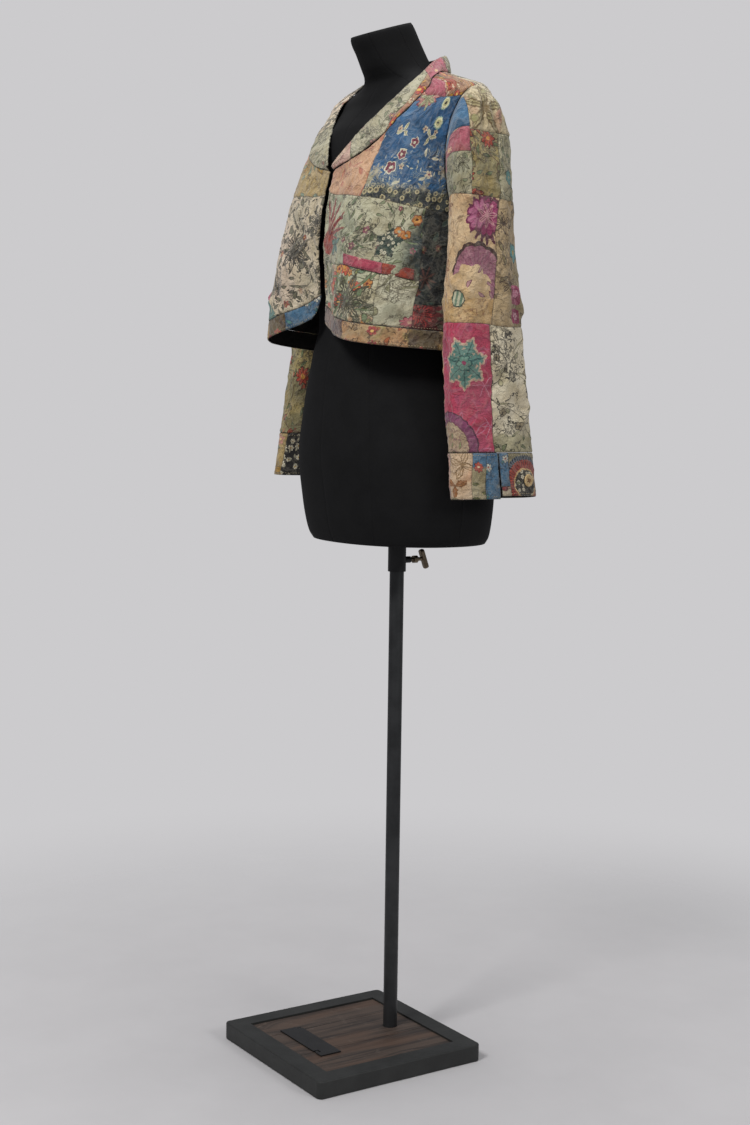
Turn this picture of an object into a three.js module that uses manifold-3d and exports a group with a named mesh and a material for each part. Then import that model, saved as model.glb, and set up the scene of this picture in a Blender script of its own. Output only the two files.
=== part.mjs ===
// Cropped patchwork jacket on a limbless dress form with its pole and base.
// Millimetres, +Z up. The origin lies where the pole's axis meets the floor.
// +X is the wearer's left, and the open front faces -Y.
import * as THREE from 'three';
import { mergeVertices } from 'three/addons/utils/BufferGeometryUtils.js';
import Module from 'manifold-3d';

const wasm = await Module();
wasm.setup();

// ---------------------------------------------------------------- driving dimensions
const CLOTH = 1.6; // thickness of a cloth wall
const SEAM_GAP = 0.3; // gap between neighbouring pieces
const LAID_OUT = CLOTH + SEAM_GAP; // how far a piece lies out on the panel that carries it
const RIGHT_ANGLE = Math.PI / 2;
const FULL_TURN = Math.PI * 2;

const BASE = { width: 300, depth: 303, height: 28, centreY: -76.5, corner: 9, edge: 2 };
const RECESS = { width: 236, depth: 239, floor: 8 };
const PLANK = { seams: [-118, -59, 36, 118], top: 25, gap: 0.8 };
const PLATE = { width: 126, depth: 37, thick: 2, x: -5.5, y: -150, notch: 9 };
const PLATE_SCREW = { radius: 3.6, head: 2.2, places: [[-59, 14.5], [45, -14.5]] }; // from the plate's middle
const POLE = { radius: 11.5, foot: RECESS.floor + SEAM_GAP, top: 1020, hole: 12.0 };
const SOCKET = { radius: 14.5, bore: 11.9, bottom: 777, top: 827.7 };
const CLAMP = { z: 795, bossRadius: 5.3, bossEnd: 25, holeRadius: 3.3 };
const SCREW = { radius: 3, tip: 11.8, nutRadius: 6, nutFrom: 31, nutTo: 38.5, paddleY: 52 };
const PADDLE = { height: 33, width: 10, thick: 7, lean: 20 };
const FORM_BORE = { radius: 12.6, top: 1290 };
const FORM_SPAN = 60; // rows of the form farther apart than this get one more between them
const FORM_SHOULDER = { from: 1463, to: 1562 }; // so do the rows where the shoulder turns

// Half sizes of the level sections of the dress form, up to its sloping neck.
const FORM_SECTIONS = table(
  ['z', 'side', 'front', 'back', 'centreY', 'square', 'swell', 'slope'],
  [
    [828, 158, 119, 122, 0, 2.2, 0, 0],
    [838, 165, 125, 126, 0, 2.2, 0, 0],
    [860, 171, 131, 128, 0, 2.2, 0, 0],
    [890, 176, 136, 129, 0, 2.2, 0, 0],
    [970, 180, 146, 133, 0, 2.15, 0, 0],
    [1030, 170, 143, 125, 0, 2.1, 0, 0],
    [1124, 143, 133, 103, 0, 2.1, 0, 0],
    [1170, 131, 123, 92, 0, 2.1, 2, 0],
    [1250, 145, 127, 95, 0, 2.15, 7, 0],
    [1325, 166, 128, 104, 0, 2.2, 15, 0],
    [1370, 168, 123, 104, 0, 2.2, 11, 0],
    [1416, 170, 117, 102, 1, 2.15, 6, 0],
    [1463, 176, 107, 96, 3, 2.1, 2, 0],
    [1487, 180.5, 89, 87.5, 5, 2.1, 0, 0],
    [1505, 181.5, 72.5, 77.5, 5, 2.1, 0, 0],
    [1518, 168.5, 66, 69, 5, 2.1, 0, 0],
    [1530, 134, 57, 66, 4, 2.1, 0, 0],
    [1542, 88, 51, 58, 1, 2.1, 0, 0],
    [1551, 66, 54, 56, -5, 2.05, 0, 0],
    [1562, 57, 53, 55, -14, 2, 0, 0.06],
    [1590, 49, 51, 52, -30, 2, 0, 0.2],
    [1614, 46, 49, 49, -43, 2, 0, 0.32],
    [1619, 44, 47, 47, -45, 2, 0, 0.32],
  ],
);

// Half sizes of the level sections of the jacket's body, at the inside of the cloth.
const BODY_SECTIONS = table(
  ['z', 'side', 'front', 'back', 'centreY', 'square', 'swell'],
  [
    [1100, 187, 139, 138, 0, 2.5, 54],
    [1146, 187, 139, 135, 0, 2.5, 53],
    [1190, 186.5, 137, 130, 0, 2.45, 52],
    [1237, 185, 140, 125, 0, 2.4, 43],
    [1290, 182.5, 144, 118, 0, 2.35, 31],
    [1325, 180, 142, 113, 0, 2.3, 25],
    [1370, 178, 134, 111, 0, 2.25, 20],
    [1416, 177, 126, 108, 1, 2.15, 11],
    [1463, 180, 112, 100, 3, 2.1, 3],
    [1487, 184.5, 93, 91.5, 5, 2.1, 0],
    [1505, 186.5, 77.2, 84.2, 5, 2.1, 0],
    [1518, 176.5, 72.2, 79.2, 5, 2.1, 0],
    [1530, 143.5, 70, 75, 4, 2.1, 0],
    [1542, 109, 68, 70, 2, 2.1, 0],
    [1551, 82, 64, 60, 0, 2.1, 0],
    [1562, 78, 62, 58, 0, 2.1, 0],
  ],
);
const SWELL_AT = 40; // degrees from the centre front to the middle of the swelling front
const SWELL_WIDTH = 26;

// Long soft folds of the body: degrees from centre front (left is positive), outward depth.
const BODY_FOLDS = table(
  ['at', 'width', 'depth', 'from', 'to'],
  [
    [58, 6, 5, 1150, 1420],
    [22, 6, 3.5, 1130, 1330],
    [-57, 6, 5, 1150, 1410],
    [-24, 6, 4, 1130, 1320],
    [118, 8, 6, 1120, 1400],
    [152, 8, 5, 1120, 1360],
    [-128, 9, 6, 1120, 1390],
    [-165, 7, 4, 1120, 1340],
  ],
);

const FRONT_CORNER = 0.05; // angle near which the front edges meet the hem
const CENTRE_GAP = { left: 6.5, right: 7.5 }; // centre line to each front edge
const HEM = {
  band: 28,
  left: { side: 1118, rise: 51 },
  right: { side: 1122, rise: 64 },
  back: 1116,
  fade: 36,
  cornerLeft: 12,
  cornerRight: 28,
};

// Neckline seam from the point of the V (row 0) round to the centre back, and the collar's
// free edge beside it: the seam as an angle and height on the body, the edge as a place.
const NECKLINE = table(
  ['angle', 'z', 'edgeX', 'edgeY', 'edgeZ'],
  [
    [2.4, 1399, 6, -133, 1408],
    [16.5, 1410, 27, -120, 1435],
    [28, 1427, 43, -107, 1457],
    [36, 1450, 58, -92, 1477],
    [39, 1476, 72, -77, 1496],
    [42, 1500, 82, -60, 1515],
    [52, 1524, 85, -28, 1543],
    [90, 1545, 76, 0, 1565],
    [112, 1548, 67, 22, 1576],
    [140, 1550, 45, 44, 1583],
    [180, 1551, 0, 55, 1585],
  ],
);
const NECK_POINT = 7; // row of the neckline table where the shoulder seam ends
const COLLAR_BOW = 2.5; // how far the collar's middle rounds out

const ARMHOLE = { tip: 1512, bottom: 1292, frontDepth: 42, backDepth: 48, roundness: 0.8 };

// Left sleeve at the inside of the cloth: outermost and innermost points of each section,
// where its middle lies front to back on either side, and half its depth.
const SLEEVE_SECTIONS = table(
  ['outX', 'outZ', 'inX', 'inZ', 'leftY', 'rightY', 'deep', 'square'],
  [
    [201, 1510, 192, 1292, -2, 5, 51, 2],
    [216, 1497, 197, 1287, -4, 6, 52, 2.1],
    [228, 1468, 199.5, 1275, -7, 7, 52, 2.2],
    [235, 1422, 200, 1256, -9, 8, 52, 2.3],
    [239, 1366, 200, 1230, -9, 9, 54, 2.4],
    [241, 1308, 199.5, 1198, -9, 9, 57, 2.4],
    [243, 1246, 199, 1156, -8, 9, 61, 2.4],
    [242, 1182, 197, 1114, -4, 7, 64, 2.4],
    [239, 1112, 193, 1069, 4, 1, 67, 2.4],
    [236, 1042, 189, 1020, 14, -9, 70.5, 2.4],
    [234, 1005, 187, 995, 21, -15, 72, 2.4],
    [232.5, 975, 186, 973, 26, -20, 73, 2.4],
  ],
);
const SLEEVE_ROWS = 17;
const SLEEVE_AXIS = { x: 214, upperX: 205, y: 10, headZ: 1370, from: 1230, to: 1350 };
const CUFF = {
  height: 69,
  spread: 1.5, // how much wider the free edge is
  ventAngle: 4,
  ventGap: 1.6,
  step: 4.5, // how much shorter the rear end is
  flare: 2.4,
  leanLeft: 7, // how far the free edge lies farther back
  leanRight: -9,
};
const RIGHT_LIFT = 20; // how much higher the right sleeve's end hangs

// Long folds of the sleeves: degrees round from the outside towards the front.
const SLEEVE_FOLDS = table(
  ['at', 'width', 'depth', 'from', 'to'],
  [
    [30, 13, 5, 1060, 1430],
    [-24, 14, 5.5, 1090, 1440],
    [-62, 12, 4, 985, 1300],
    [62, 10, 3.5, 985, 1210],
    [150, 12, 3, 1000, 1220],
  ],
);

const WELT = { from: 28, to: 61, zFrom: 1258, zTo: 1233, height: 16, thick: 1.4 };
const BUTTON = { radius: 9.5, thick: 3.4, hole: 1.1, holeSpread: 5, rim: 1.4, angle: -38, along: 0.64 };

const STEPS = {
  frontColumns: 14,
  sideRows: 7,
  centreRows: 10,
  rows: 20,
  shoulderColumns: 6,
  backNeckColumns: 16,
  formColumns: 36,
  bandColumns: 14,
};
STEPS.armRows = STEPS.rows - STEPS.sideRows;
STEPS.neckRows = STEPS.rows - STEPS.centreRows;

const COLOURS = {
  form: [0x17171a, 0.75, 0],
  steel: [0x2b2d2e, 0.55, 0.6],
  frame: [0x2a2b29, 0.6, 0.5],
  wood: [0x3b2a22, 0.6, 0],
  brass: [0x8a7763, 0.4, 0.9],
  sage: [0x9a9a7c, 0.9, 0],
  cream: [0xb8ab88, 0.9, 0],
  blue: [0x3f6b8c, 0.9, 0],
  rose: [0xa84a5e, 0.9, 0],
  button: [0xd9c39a, 0.5, 0],
};

// ---------------------------------------------------------------- small helpers
function table(names, rows) {
  return rows.map((row) => Object.fromEntries(names.map((name, i) => [name, row[i]])));
}

function radians(degrees) {
  return (degrees * Math.PI) / 180;
}

function mix(a, b, amount) {
  return a + (b - a) * amount;
}

function clamp01(value) {
  return Math.min(Math.max(value, 0), 1);
}

function smooth(value) {
  const t = clamp01(value);
  return t * t * (3 - 2 * t);
}

// A bump that rises and dies away at both ends of a stretch.
function stretch(value, from, to) {
  const fade = (to - from) * 0.35;
  return smooth((value - from) / fade) * smooth((to - value) / fade);
}

// Smooth curve through a table's column that never overshoots its rows.
function curve(rows, key, along = null) {
  const xs = rows.map((row, i) => (along ? row[along] : i));
  const ys = rows.map((row) => row[key]);
  const slopes = xs.slice(1).map((x, i) => (ys[i + 1] - ys[i]) / (x - xs[i]));
  const tangents = xs.map((x, i) => {
    const before = slopes[Math.max(i - 1, 0)];
    const after = slopes[Math.min(i, slopes.length - 1)];
    return before * after <= 0 ? 0 : (2 * before * after) / (before + after);
  });
  return (value) => {
    const x = Math.min(Math.max(value, xs[0]), xs[xs.length - 1]);
    let i = 0;
    while (i < xs.length - 2 && x > xs[i + 1]) i += 1;
    const width = xs[i + 1] - xs[i];
    const t = (x - xs[i]) / width;
    const start = (2 * t ** 3 - 3 * t ** 2 + 1) * ys[i];
    const startPull = (t ** 3 - 2 * t ** 2 + t) * width * tangents[i];
    const end = (3 * t ** 2 - 2 * t ** 3) * ys[i + 1];
    const endPull = (t ** 3 - t ** 2) * width * tangents[i + 1];
    return start + startPull + end + endPull;
  };
}

function curves(rows, along = null) {
  const keys = Object.keys(rows[0]).filter((key) => key !== along);
  const parts = Object.fromEntries(keys.map((key) => [key, curve(rows, key, along)]));
  return (value) => Object.fromEntries(keys.map((key) => [key, parts[key](value)]));
}

function range(count) {
  return Array.from({ length: count + 1 }, (_, i) => i / count);
}

// ---------------------------------------------------------------- surfaces
const formSection = curves(FORM_SECTIONS, 'z');
const bodySection = curves(BODY_SECTIONS, 'z');
const necklineAt = curves(NECKLINE);
const sleeveSection = curves(SLEEVE_SECTIONS);

// How far a unit direction is stretched to lie on a superellipse.
function squareness(s, c, power) {
  return (Math.abs(s) ** power + Math.abs(c) ** power) ** (-1 / power);
}

// A point on a level section: the angle runs from the centre front to the wearer's left.
function sectionPoint(section, angle, z) {
  const s = Math.sin(angle);
  const c = Math.cos(angle);
  const squared = squareness(s, c, section.square);
  const depth = c > 0 ? section.front : section.back;
  const away = (Math.abs(Math.atan2(s, c)) - radians(SWELL_AT)) / radians(SWELL_WIDTH);
  const y = section.centreY - depth * c * squared - section.swell * Math.exp(-away * away);
  const rise = (section.slope ?? 0) * (y - section.centreY);
  return new THREE.Vector3(section.side * s * squared, y, z + rise);
}

function plainBodyPoint(angle, z) {
  return sectionPoint(bodySection(z), angle, z);
}

function foldDepth(folds, angle, z) {
  let depth = 0;
  for (const fold of folds) {
    const turn = angle - radians(fold.at);
    const away = Math.atan2(Math.sin(turn), Math.cos(turn)) / radians(fold.width);
    depth += fold.depth * Math.exp(-away * away) * stretch(z, fold.from, fold.to);
  }
  return depth;
}

function bodyNormal(angle, z) {
  const step = 0.01;
  const round = plainBodyPoint(angle + step, z).sub(plainBodyPoint(angle - step, z));
  const up = plainBodyPoint(angle, z + 1).sub(plainBodyPoint(angle, z - 1));
  return round.cross(up).normalize();
}

// The jacket's body at the inside of its cloth, or moved out from there.
function bodyPoint(angle, z, out = 0) {
  const depth = foldDepth(BODY_FOLDS, angle, z) + out;
  return plainBodyPoint(angle, z).addScaledVector(bodyNormal(angle, z), depth);
}

// The angle at which a level section reaches a place: x measured from the centre front,
// or y measured from the middle of the side.
function angleAt(reaches, low, high) {
  let from = low;
  let to = high;
  for (let i = 0; i < 40; i += 1) {
    const middle = (from + to) / 2;
    if (reaches(middle)) to = middle;
    else from = middle;
  }
  return (from + to) / 2;
}

function angleAtX(x, z) {
  return angleAt((angle) => plainBodyPoint(angle, z).x > x, 0, RIGHT_ANGLE);
}

function angleAtDepth(depth, z) {
  const middle = bodySection(z).centreY;
  if (depth >= 0) {
    const reaches = (angle) => plainBodyPoint(angle, z).y - middle > -depth;
    return angleAt(reaches, 0.6, RIGHT_ANGLE);
  }
  return angleAt((angle) => plainBodyPoint(angle, z).y - middle > -depth, RIGHT_ANGLE, Math.PI - 0.6);
}

// ---------------------------------------------------------------- edges of the panels
// Each edge is a function from 0 to 1 that gives an angle and a height on the body.
function hemHeight(angle, side) {
  const fromFront = Math.abs(Math.atan2(Math.sin(angle), Math.cos(angle)));
  const turned = smooth((fromFront - RIGHT_ANGLE) / RIGHT_ANGLE);
  const front = side.side + side.rise * Math.exp(-fromFront / radians(HEM.fade));
  return mix(front, HEM.back, turned);
}

function frontEdge(side) {
  const isLeft = side > 0;
  const hem = isLeft ? HEM.left : HEM.right;
  const corner = isLeft ? HEM.cornerLeft : HEM.cornerRight;
  const gap = isLeft ? CENTRE_GAP.left : CENTRE_GAP.right;
  return (z) => {
    const short = clamp01(1 - (z - hemHeight(FRONT_CORNER, hem)) / corner);
    const round = corner * (1 - Math.sqrt(1 - short * short * 0.9));
    return angleAtX(mix(gap, gap * 0.75, smooth((z - 1300) / 100)) + round, z);
  };
}

function armholePlace(turn) {
  const z = mix(ARMHOLE.bottom, ARMHOLE.tip, (1 + Math.cos(turn)) / 2);
  const s = Math.sin(turn);
  const depth = s >= 0 ? ARMHOLE.frontDepth : ARMHOLE.backDepth;
  return [angleAtDepth(Math.sign(s) * depth * Math.abs(s) ** ARMHOLE.roundness, z), z];
}

function neckPlace(row) {
  const at = necklineAt(row);
  return [radians(at.angle), at.z];
}

// A patch between four edges, worked out in angle and height.
function patch(bottom, top, left, right) {
  return (u, v) =>
    [0, 1].map((k) => {
      const rows = mix(bottom(u)[k], top(u)[k], v) + mix(left(v)[k], right(v)[k], u);
      const low = mix(bottom(0)[k], bottom(1)[k], u);
      const high = mix(top(0)[k], top(1)[k], u);
      return rows - mix(low, high, v);
    });
}

function shoulderPlace(along) {
  return [RIGHT_ANGLE, mix(NECKLINE[NECK_POINT].z, ARMHOLE.tip, along)];
}

// ---------------------------------------------------------------- grids to solids
function gridOf(us, vs, place) {
  return vs.map((v) => us.map((u) => place(u, v)));
}

// Moves the edges of a grid in from their seams by half the gap.
function inset(grid, sides) {
  const half = SEAM_GAP / 2;
  const pull = (point, inner) => point.lerp(inner, Math.min(half / point.distanceTo(inner), 0.5));
  const lastRow = grid.length - 1;
  const lastColumn = grid[0].length - 1;
  for (const row of grid) {
    if (sides.includes('left')) pull(row[0], row[1]);
    if (sides.includes('right')) pull(row[lastColumn], row[lastColumn - 1]);
  }
  grid[0].forEach((point, i) => {
    if (sides.includes('bottom')) pull(point, grid[1][i]);
    if (sides.includes('top')) pull(grid[lastRow][i], grid[lastRow - 1][i]);
  });
  return grid;
}

function solid(points, faces) {
  const geometry = new THREE.BufferGeometry();
  const positions = points.flatMap((point) => point.toArray());
  geometry.setAttribute('position', new THREE.Float32BufferAttribute(positions, 3));
  const cross = new THREE.Vector3();
  let volume = 0;
  for (const [a, b, c] of faces) volume += cross.crossVectors(points[a], points[b]).dot(points[c]);
  geometry.setIndex(faces.flatMap(([a, b, c]) => (volume > 0 ? [a, b, c] : [a, c, b])));
  return geometry;
}

// Thickens a grid of points into a closed wall. Points move out from their reference.
function wall(grid, thick, awayFrom, wraps = false) {
  const rows = grid.length;
  const columns = grid[0].length;
  const column = (i) => (wraps ? (i + columns) % columns : Math.min(Math.max(i, 0), columns - 1));
  const at = (j, i) => grid[Math.min(Math.max(j, 0), rows - 1)][column(i)];
  const outer = grid.map((row, j) =>
    row.map((point, i) => {
      const along = at(j, i + 1).clone().sub(at(j, i - 1));
      const up = at(j + 1, i).clone().sub(at(j - 1, i));
      const normal = along.cross(up).normalize();
      if (normal.dot(point.clone().sub(awayFrom(point))) < 0) normal.negate();
      return point.clone().addScaledVector(normal, thick);
    }),
  );
  const points = [...grid.flat(), ...outer.flat()];
  const inner = (j, i) => j * columns + (i % columns);
  const skin = (j, i) => rows * columns + inner(j, i);
  const faces = [];
  const quad = (a, b, c, d) => faces.push([a, b, c], [a, c, d]);
  const spans = wraps ? columns : columns - 1;
  for (let j = 0; j < rows - 1; j += 1) {
    for (let i = 0; i < spans; i += 1) {
      quad(skin(j, i), skin(j, i + 1), skin(j + 1, i + 1), skin(j + 1, i));
      quad(inner(j, i), inner(j + 1, i), inner(j + 1, i + 1), inner(j, i + 1));
    }
  }
  for (let i = 0; i < spans; i += 1) {
    quad(inner(0, i), inner(0, i + 1), skin(0, i + 1), skin(0, i));
    quad(inner(rows - 1, i), skin(rows - 1, i), skin(rows - 1, i + 1), inner(rows - 1, i + 1));
  }
  if (!wraps) {
    for (let j = 0; j < rows - 1; j += 1) {
      quad(inner(j, 0), skin(j, 0), skin(j + 1, 0), inner(j + 1, 0));
      quad(inner(j, columns - 1), inner(j + 1, columns - 1), skin(j + 1, columns - 1), skin(j, columns - 1));
    }
  }
  return solid(points, faces);
}

const bodyAxis = (point) => new THREE.Vector3(0, 0, Math.min(point.z, 1440));

// ---------------------------------------------------------------- manifold cuts
function toManifold(geometry) {
  const bare = geometry.clone();
  bare.deleteAttribute('normal');
  bare.deleteAttribute('uv');
  const merged = mergeVertices(bare, 1e-4);
  const vertProperties = new Float32Array(merged.attributes.position.array);
  const triVerts = new Uint32Array(merged.index.array);
  return new wasm.Manifold(new wasm.Mesh({ numProp: 3, vertProperties, triVerts }));
}

function fromManifold(shape) {
  const mesh = shape.getMesh();
  const geometry = new THREE.BufferGeometry();
  geometry.setAttribute('position', new THREE.Float32BufferAttribute(mesh.vertProperties, 3));
  geometry.setIndex(Array.from(mesh.triVerts));
  return geometry;
}

function cut(geometry, ...tools) {
  const shape = tools.reduce((rest, tool) => rest.subtract(toManifold(tool)), toManifold(geometry));
  return fromManifold(shape);
}

function join(...geometries) {
  return fromManifold(geometries.map(toManifold).reduce((a, b) => a.add(b)));
}

function uprightCylinder(radius, from, to, segments = 48) {
  const geometry = new THREE.CylinderGeometry(radius, radius, to - from, segments);
  return geometry.rotateX(RIGHT_ANGLE).translate(0, 0, (from + to) / 2);
}

function backwardCylinder(radius, from, to, z, segments = 32) {
  const geometry = new THREE.CylinderGeometry(radius, radius, to - from, segments);
  return geometry.translate(0, (from + to) / 2, z);
}

function roundedBox(width, depth, height, corner, edge) {
  const x = width / 2 - corner;
  const y = depth / 2 - corner;
  const shape = new THREE.Shape();
  shape.absarc(x, y, corner - edge, 0, RIGHT_ANGLE);
  shape.absarc(-x, y, corner - edge, RIGHT_ANGLE, Math.PI);
  shape.absarc(-x, -y, corner - edge, Math.PI, Math.PI + RIGHT_ANGLE);
  shape.absarc(x, -y, corner - edge, Math.PI + RIGHT_ANGLE, FULL_TURN);
  const options = { depth: height - 2 * edge, curveSegments: 5, bevelEnabled: edge > 0 };
  const bevel = { bevelThickness: edge, bevelSize: edge, bevelSegments: 2 };
  return new THREE.ExtrudeGeometry(shape, { ...options, ...bevel }).translate(0, 0, edge);
}

// ---------------------------------------------------------------- stand
const model = new THREE.Group();

function add(name, geometry, colour) {
  const [color, roughness, metalness] = COLOURS[colour];
  const mesh = new THREE.Mesh(geometry, new THREE.MeshStandardMaterial({ color, roughness, metalness }));
  mesh.name = name;
  model.add(mesh);
  return mesh;
}

function makeBase() {
  const block = roundedBox(BASE.width, BASE.depth, BASE.height, BASE.corner, BASE.edge);
  const pocketHeight = BASE.height - RECESS.floor + 1;
  const pocket = new THREE.BoxGeometry(RECESS.width + 2 * SEAM_GAP, RECESS.depth, pocketHeight);
  pocket.translate(0, 0, RECESS.floor + pocketHeight / 2);
  add('base_frame', cut(block, pocket).translate(0, BASE.centreY, 0), 'frame');

  const poleHole = uprightCylinder(POLE.hole, 0, BASE.height + 1);
  for (let i = 0; i < 3; i += 1) {
    const from = PLANK.seams[i] + PLANK.gap / 2;
    const to = PLANK.seams[i + 1] - PLANK.gap / 2;
    const foot = RECESS.floor + SEAM_GAP;
    const plank = new THREE.BoxGeometry(to - from, RECESS.depth - 2 * SEAM_GAP, PLANK.top - foot);
    plank.translate((from + to) / 2, BASE.centreY, (PLANK.top + foot) / 2);
    const holds = from < 0 && to > 0;
    add(`base_plank_${i + 1}`, holds ? cut(plank, poleHole) : plank, 'wood');
  }
}

function makePlate() {
  const bottom = PLANK.top + SEAM_GAP;
  const plate = new THREE.BoxGeometry(PLATE.width, PLATE.depth, PLATE.thick);
  const notches = PLATE_SCREW.places.map(([x, y]) => {
    const notch = new THREE.BoxGeometry(PLATE.notch, PLATE.notch, PLATE.thick * 3);
    return notch.translate(x, y, 0);
  });
  const place = [PLATE.x, PLATE.y, bottom + PLATE.thick / 2];
  add('base_plate', cut(plate, ...notches).translate(...place), 'steel');
  const profile = [
    [0, 0],
    [PLATE_SCREW.radius, 0],
    [PLATE_SCREW.radius, PLATE_SCREW.head * 0.5],
    [PLATE_SCREW.radius * 0.6, PLATE_SCREW.head],
    [0, PLATE_SCREW.head],
  ].map(([r, z]) => new THREE.Vector2(r, z));
  PLATE_SCREW.places.forEach(([x, y], i) => {
    const head = new THREE.LatheGeometry(profile, 16).rotateX(RIGHT_ANGLE);
    const at = [PLATE.x + x, PLATE.y + y, bottom];
    add(`plate_screw_${i + 1}`, head.translate(...at), 'steel');
  });
}

function makePole() {
  add('pole', uprightCylinder(POLE.radius, POLE.foot, POLE.top), 'steel');
}

function makeSocket() {
  const sleeve = uprightCylinder(SOCKET.radius, SOCKET.bottom, SOCKET.top);
  const boss = backwardCylinder(CLAMP.bossRadius, SOCKET.bore + 0.5, CLAMP.bossEnd, CLAMP.z);
  const bore = uprightCylinder(SOCKET.bore, SOCKET.bottom - 1, SOCKET.top + 1);
  const hole = backwardCylinder(CLAMP.holeRadius, 4, CLAMP.bossEnd + 1, CLAMP.z);
  add('socket', cut(join(sleeve, boss), bore, hole), 'steel');
}

function makeThumbScrew() {
  const shaft = backwardCylinder(SCREW.radius, SCREW.tip, SCREW.paddleY, CLAMP.z, 20);
  const nut = backwardCylinder(SCREW.nutRadius, SCREW.nutFrom, SCREW.nutTo, CLAMP.z, 20);
  const paddle = roundedBox(PADDLE.width, PADDLE.height, PADDLE.thick, 4, 1.5);
  paddle.translate(0, 0, -PADDLE.thick / 2).rotateX(RIGHT_ANGLE + radians(PADDLE.lean));
  paddle.translate(0, SCREW.paddleY, CLAMP.z);
  add('thumb_screw', join(shaft, nut, paddle), 'brass');
}

function makeForm() {
  const heights = FORM_SECTIONS.flatMap(({ z }, i) => {
    const next = FORM_SECTIONS[i + 1];
    if (!next) return [z];
    const turns = z >= FORM_SHOULDER.from && z < FORM_SHOULDER.to;
    return turns || next.z - z > FORM_SPAN ? [z, (z + next.z) / 2] : [z];
  });
  const columns = STEPS.formColumns;
  const points = [];
  for (const z of heights) {
    for (let i = 0; i < columns; i += 1) {
      points.push(sectionPoint(formSection(z), (FULL_TURN * i) / columns, z));
    }
  }
  const last = heights.length - 1;
  const faces = [];
  for (let j = 0; j < last; j += 1) {
    for (let i = 0; i < columns; i += 1) {
      const here = j * columns + i;
      const next = j * columns + ((i + 1) % columns);
      faces.push([here, next, next + columns], [here, next + columns, here + columns]);
    }
  }
  const low = points.push(new THREE.Vector3(0, 0, heights[0])) - 1;
  const topSection = formSection(heights[last]);
  const high = points.push(new THREE.Vector3(0, topSection.centreY, heights[last])) - 1;
  for (let i = 0; i < columns; i += 1) {
    const next = (i + 1) % columns;
    faces.push([low, next, i], [high, last * columns + i, last * columns + next]);
  }
  const bore = uprightCylinder(FORM_BORE.radius, 800, FORM_BORE.top);
  add('dress_form', cut(solid(points, faces), bore), 'form');
}

// ---------------------------------------------------------------- jacket
function makeFront(side) {
  const isLeft = side > 0;
  const hem = isLeft ? HEM.left : HEM.right;
  const edgeAngle = frontEdge(side);
  const seamHeight = (angle) => hemHeight(angle, hem) + HEM.band;
  const start = edgeAngle(seamHeight(FRONT_CORNER));
  const startZ = seamHeight(start);
  const bottom = (u) => {
    const angle = mix(start, RIGHT_ANGLE, u);
    return [angle, seamHeight(angle)];
  };
  const inner = (v) => {
    const row = v * STEPS.rows;
    if (row <= STEPS.centreRows) {
      const z = mix(startZ, NECKLINE[0].z, row / STEPS.centreRows);
      return [edgeAngle(z), z];
    }
    return neckPlace(((row - STEPS.centreRows) / STEPS.neckRows) * NECK_POINT);
  };
  const outer = (v) => {
    const row = v * STEPS.rows;
    if (row <= STEPS.sideRows) {
      return [RIGHT_ANGLE, mix(seamHeight(RIGHT_ANGLE), ARMHOLE.bottom, row / STEPS.sideRows)];
    }
    return armholePlace(Math.PI * (1 - (row - STEPS.sideRows) / STEPS.armRows));
  };
  const place = patch(bottom, shoulderPlace, inner, outer);
  const us = range(STEPS.frontColumns);
  const grid = gridOf(us, range(STEPS.rows), (u, v) => {
    const [angle, z] = place(u, v);
    return mirrored(bodyPointOn(side, angle, z), side);
  });
  return wall(inset(grid, 'right top bottom'), CLOTH, bodyAxis);
}

// Both sides share one set of angles, and only the folds differ from side to side.
function bodyPointOn(side, angle, z, out = 0) {
  const point = bodyPoint(side * angle, z, out);
  point.x *= side;
  return point;
}

function mirrored(point, side) {
  point.x *= side;
  return point;
}

function makeBack() {
  const seamHeight = (angle) => hemHeight(angle, HEM.left) + HEM.band;
  const sideRows = STEPS.sideRows;
  const outer = (v) => {
    const row = v * STEPS.rows;
    if (row <= sideRows) {
      return [RIGHT_ANGLE, mix(seamHeight(RIGHT_ANGLE), ARMHOLE.bottom, row / sideRows)];
    }
    return armholePlace(-Math.PI * (1 - (row - sideRows) / STEPS.armRows));
  };
  const otherSide = (v) => {
    const [angle, z] = outer(v);
    return [FULL_TURN - angle, z];
  };
  const { shoulderColumns, backNeckColumns } = STEPS;
  const columns = 2 * shoulderColumns + backNeckColumns;
  const lastRow = NECKLINE.length - 1;
  const shoulderOrNeck = (column) => {
    if (column <= shoulderColumns) return shoulderPlace(1 - column / shoulderColumns);
    return neckPlace(mix(NECK_POINT, lastRow, (2 * (column - shoulderColumns)) / backNeckColumns));
  };
  const top = (u) => {
    const [angle, z] = shoulderOrNeck(Math.min(u, 1 - u) * columns);
    return u > 0.5 ? [FULL_TURN - angle, z] : [angle, z];
  };
  const bottom = (u) => {
    const angle = mix(RIGHT_ANGLE, FULL_TURN - RIGHT_ANGLE, u);
    return [angle, seamHeight(angle)];
  };
  const place = patch(bottom, top, outer, otherSide);
  const grid = gridOf(range(columns), range(STEPS.rows), (u, v) => bodyPoint(...place(u, v)));
  return wall(inset(grid, 'left right top bottom'), CLOTH, bodyAxis);
}

function makeHemBand(from, to, side, edgeAngle, sides) {
  const cornerZ = hemHeight(FRONT_CORNER, side.hem);
  const place = (u, v) => {
    const angle = mix(edgeAngle ? edgeAngle(cornerZ + HEM.band * v) : from, to, u);
    const z = hemHeight(angle, side.hem) + (HEM.band - SEAM_GAP / 2) * v;
    if (!edgeAngle) return bodyPoint(angle, z);
    return mirrored(bodyPointOn(side.sign, angle, z), side.sign);
  };
  const grid = gridOf(range(STEPS.bandColumns * (edgeAngle ? 1 : 2)), range(2), place);
  return wall(inset(grid, sides), CLOTH, bodyAxis);
}

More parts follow.
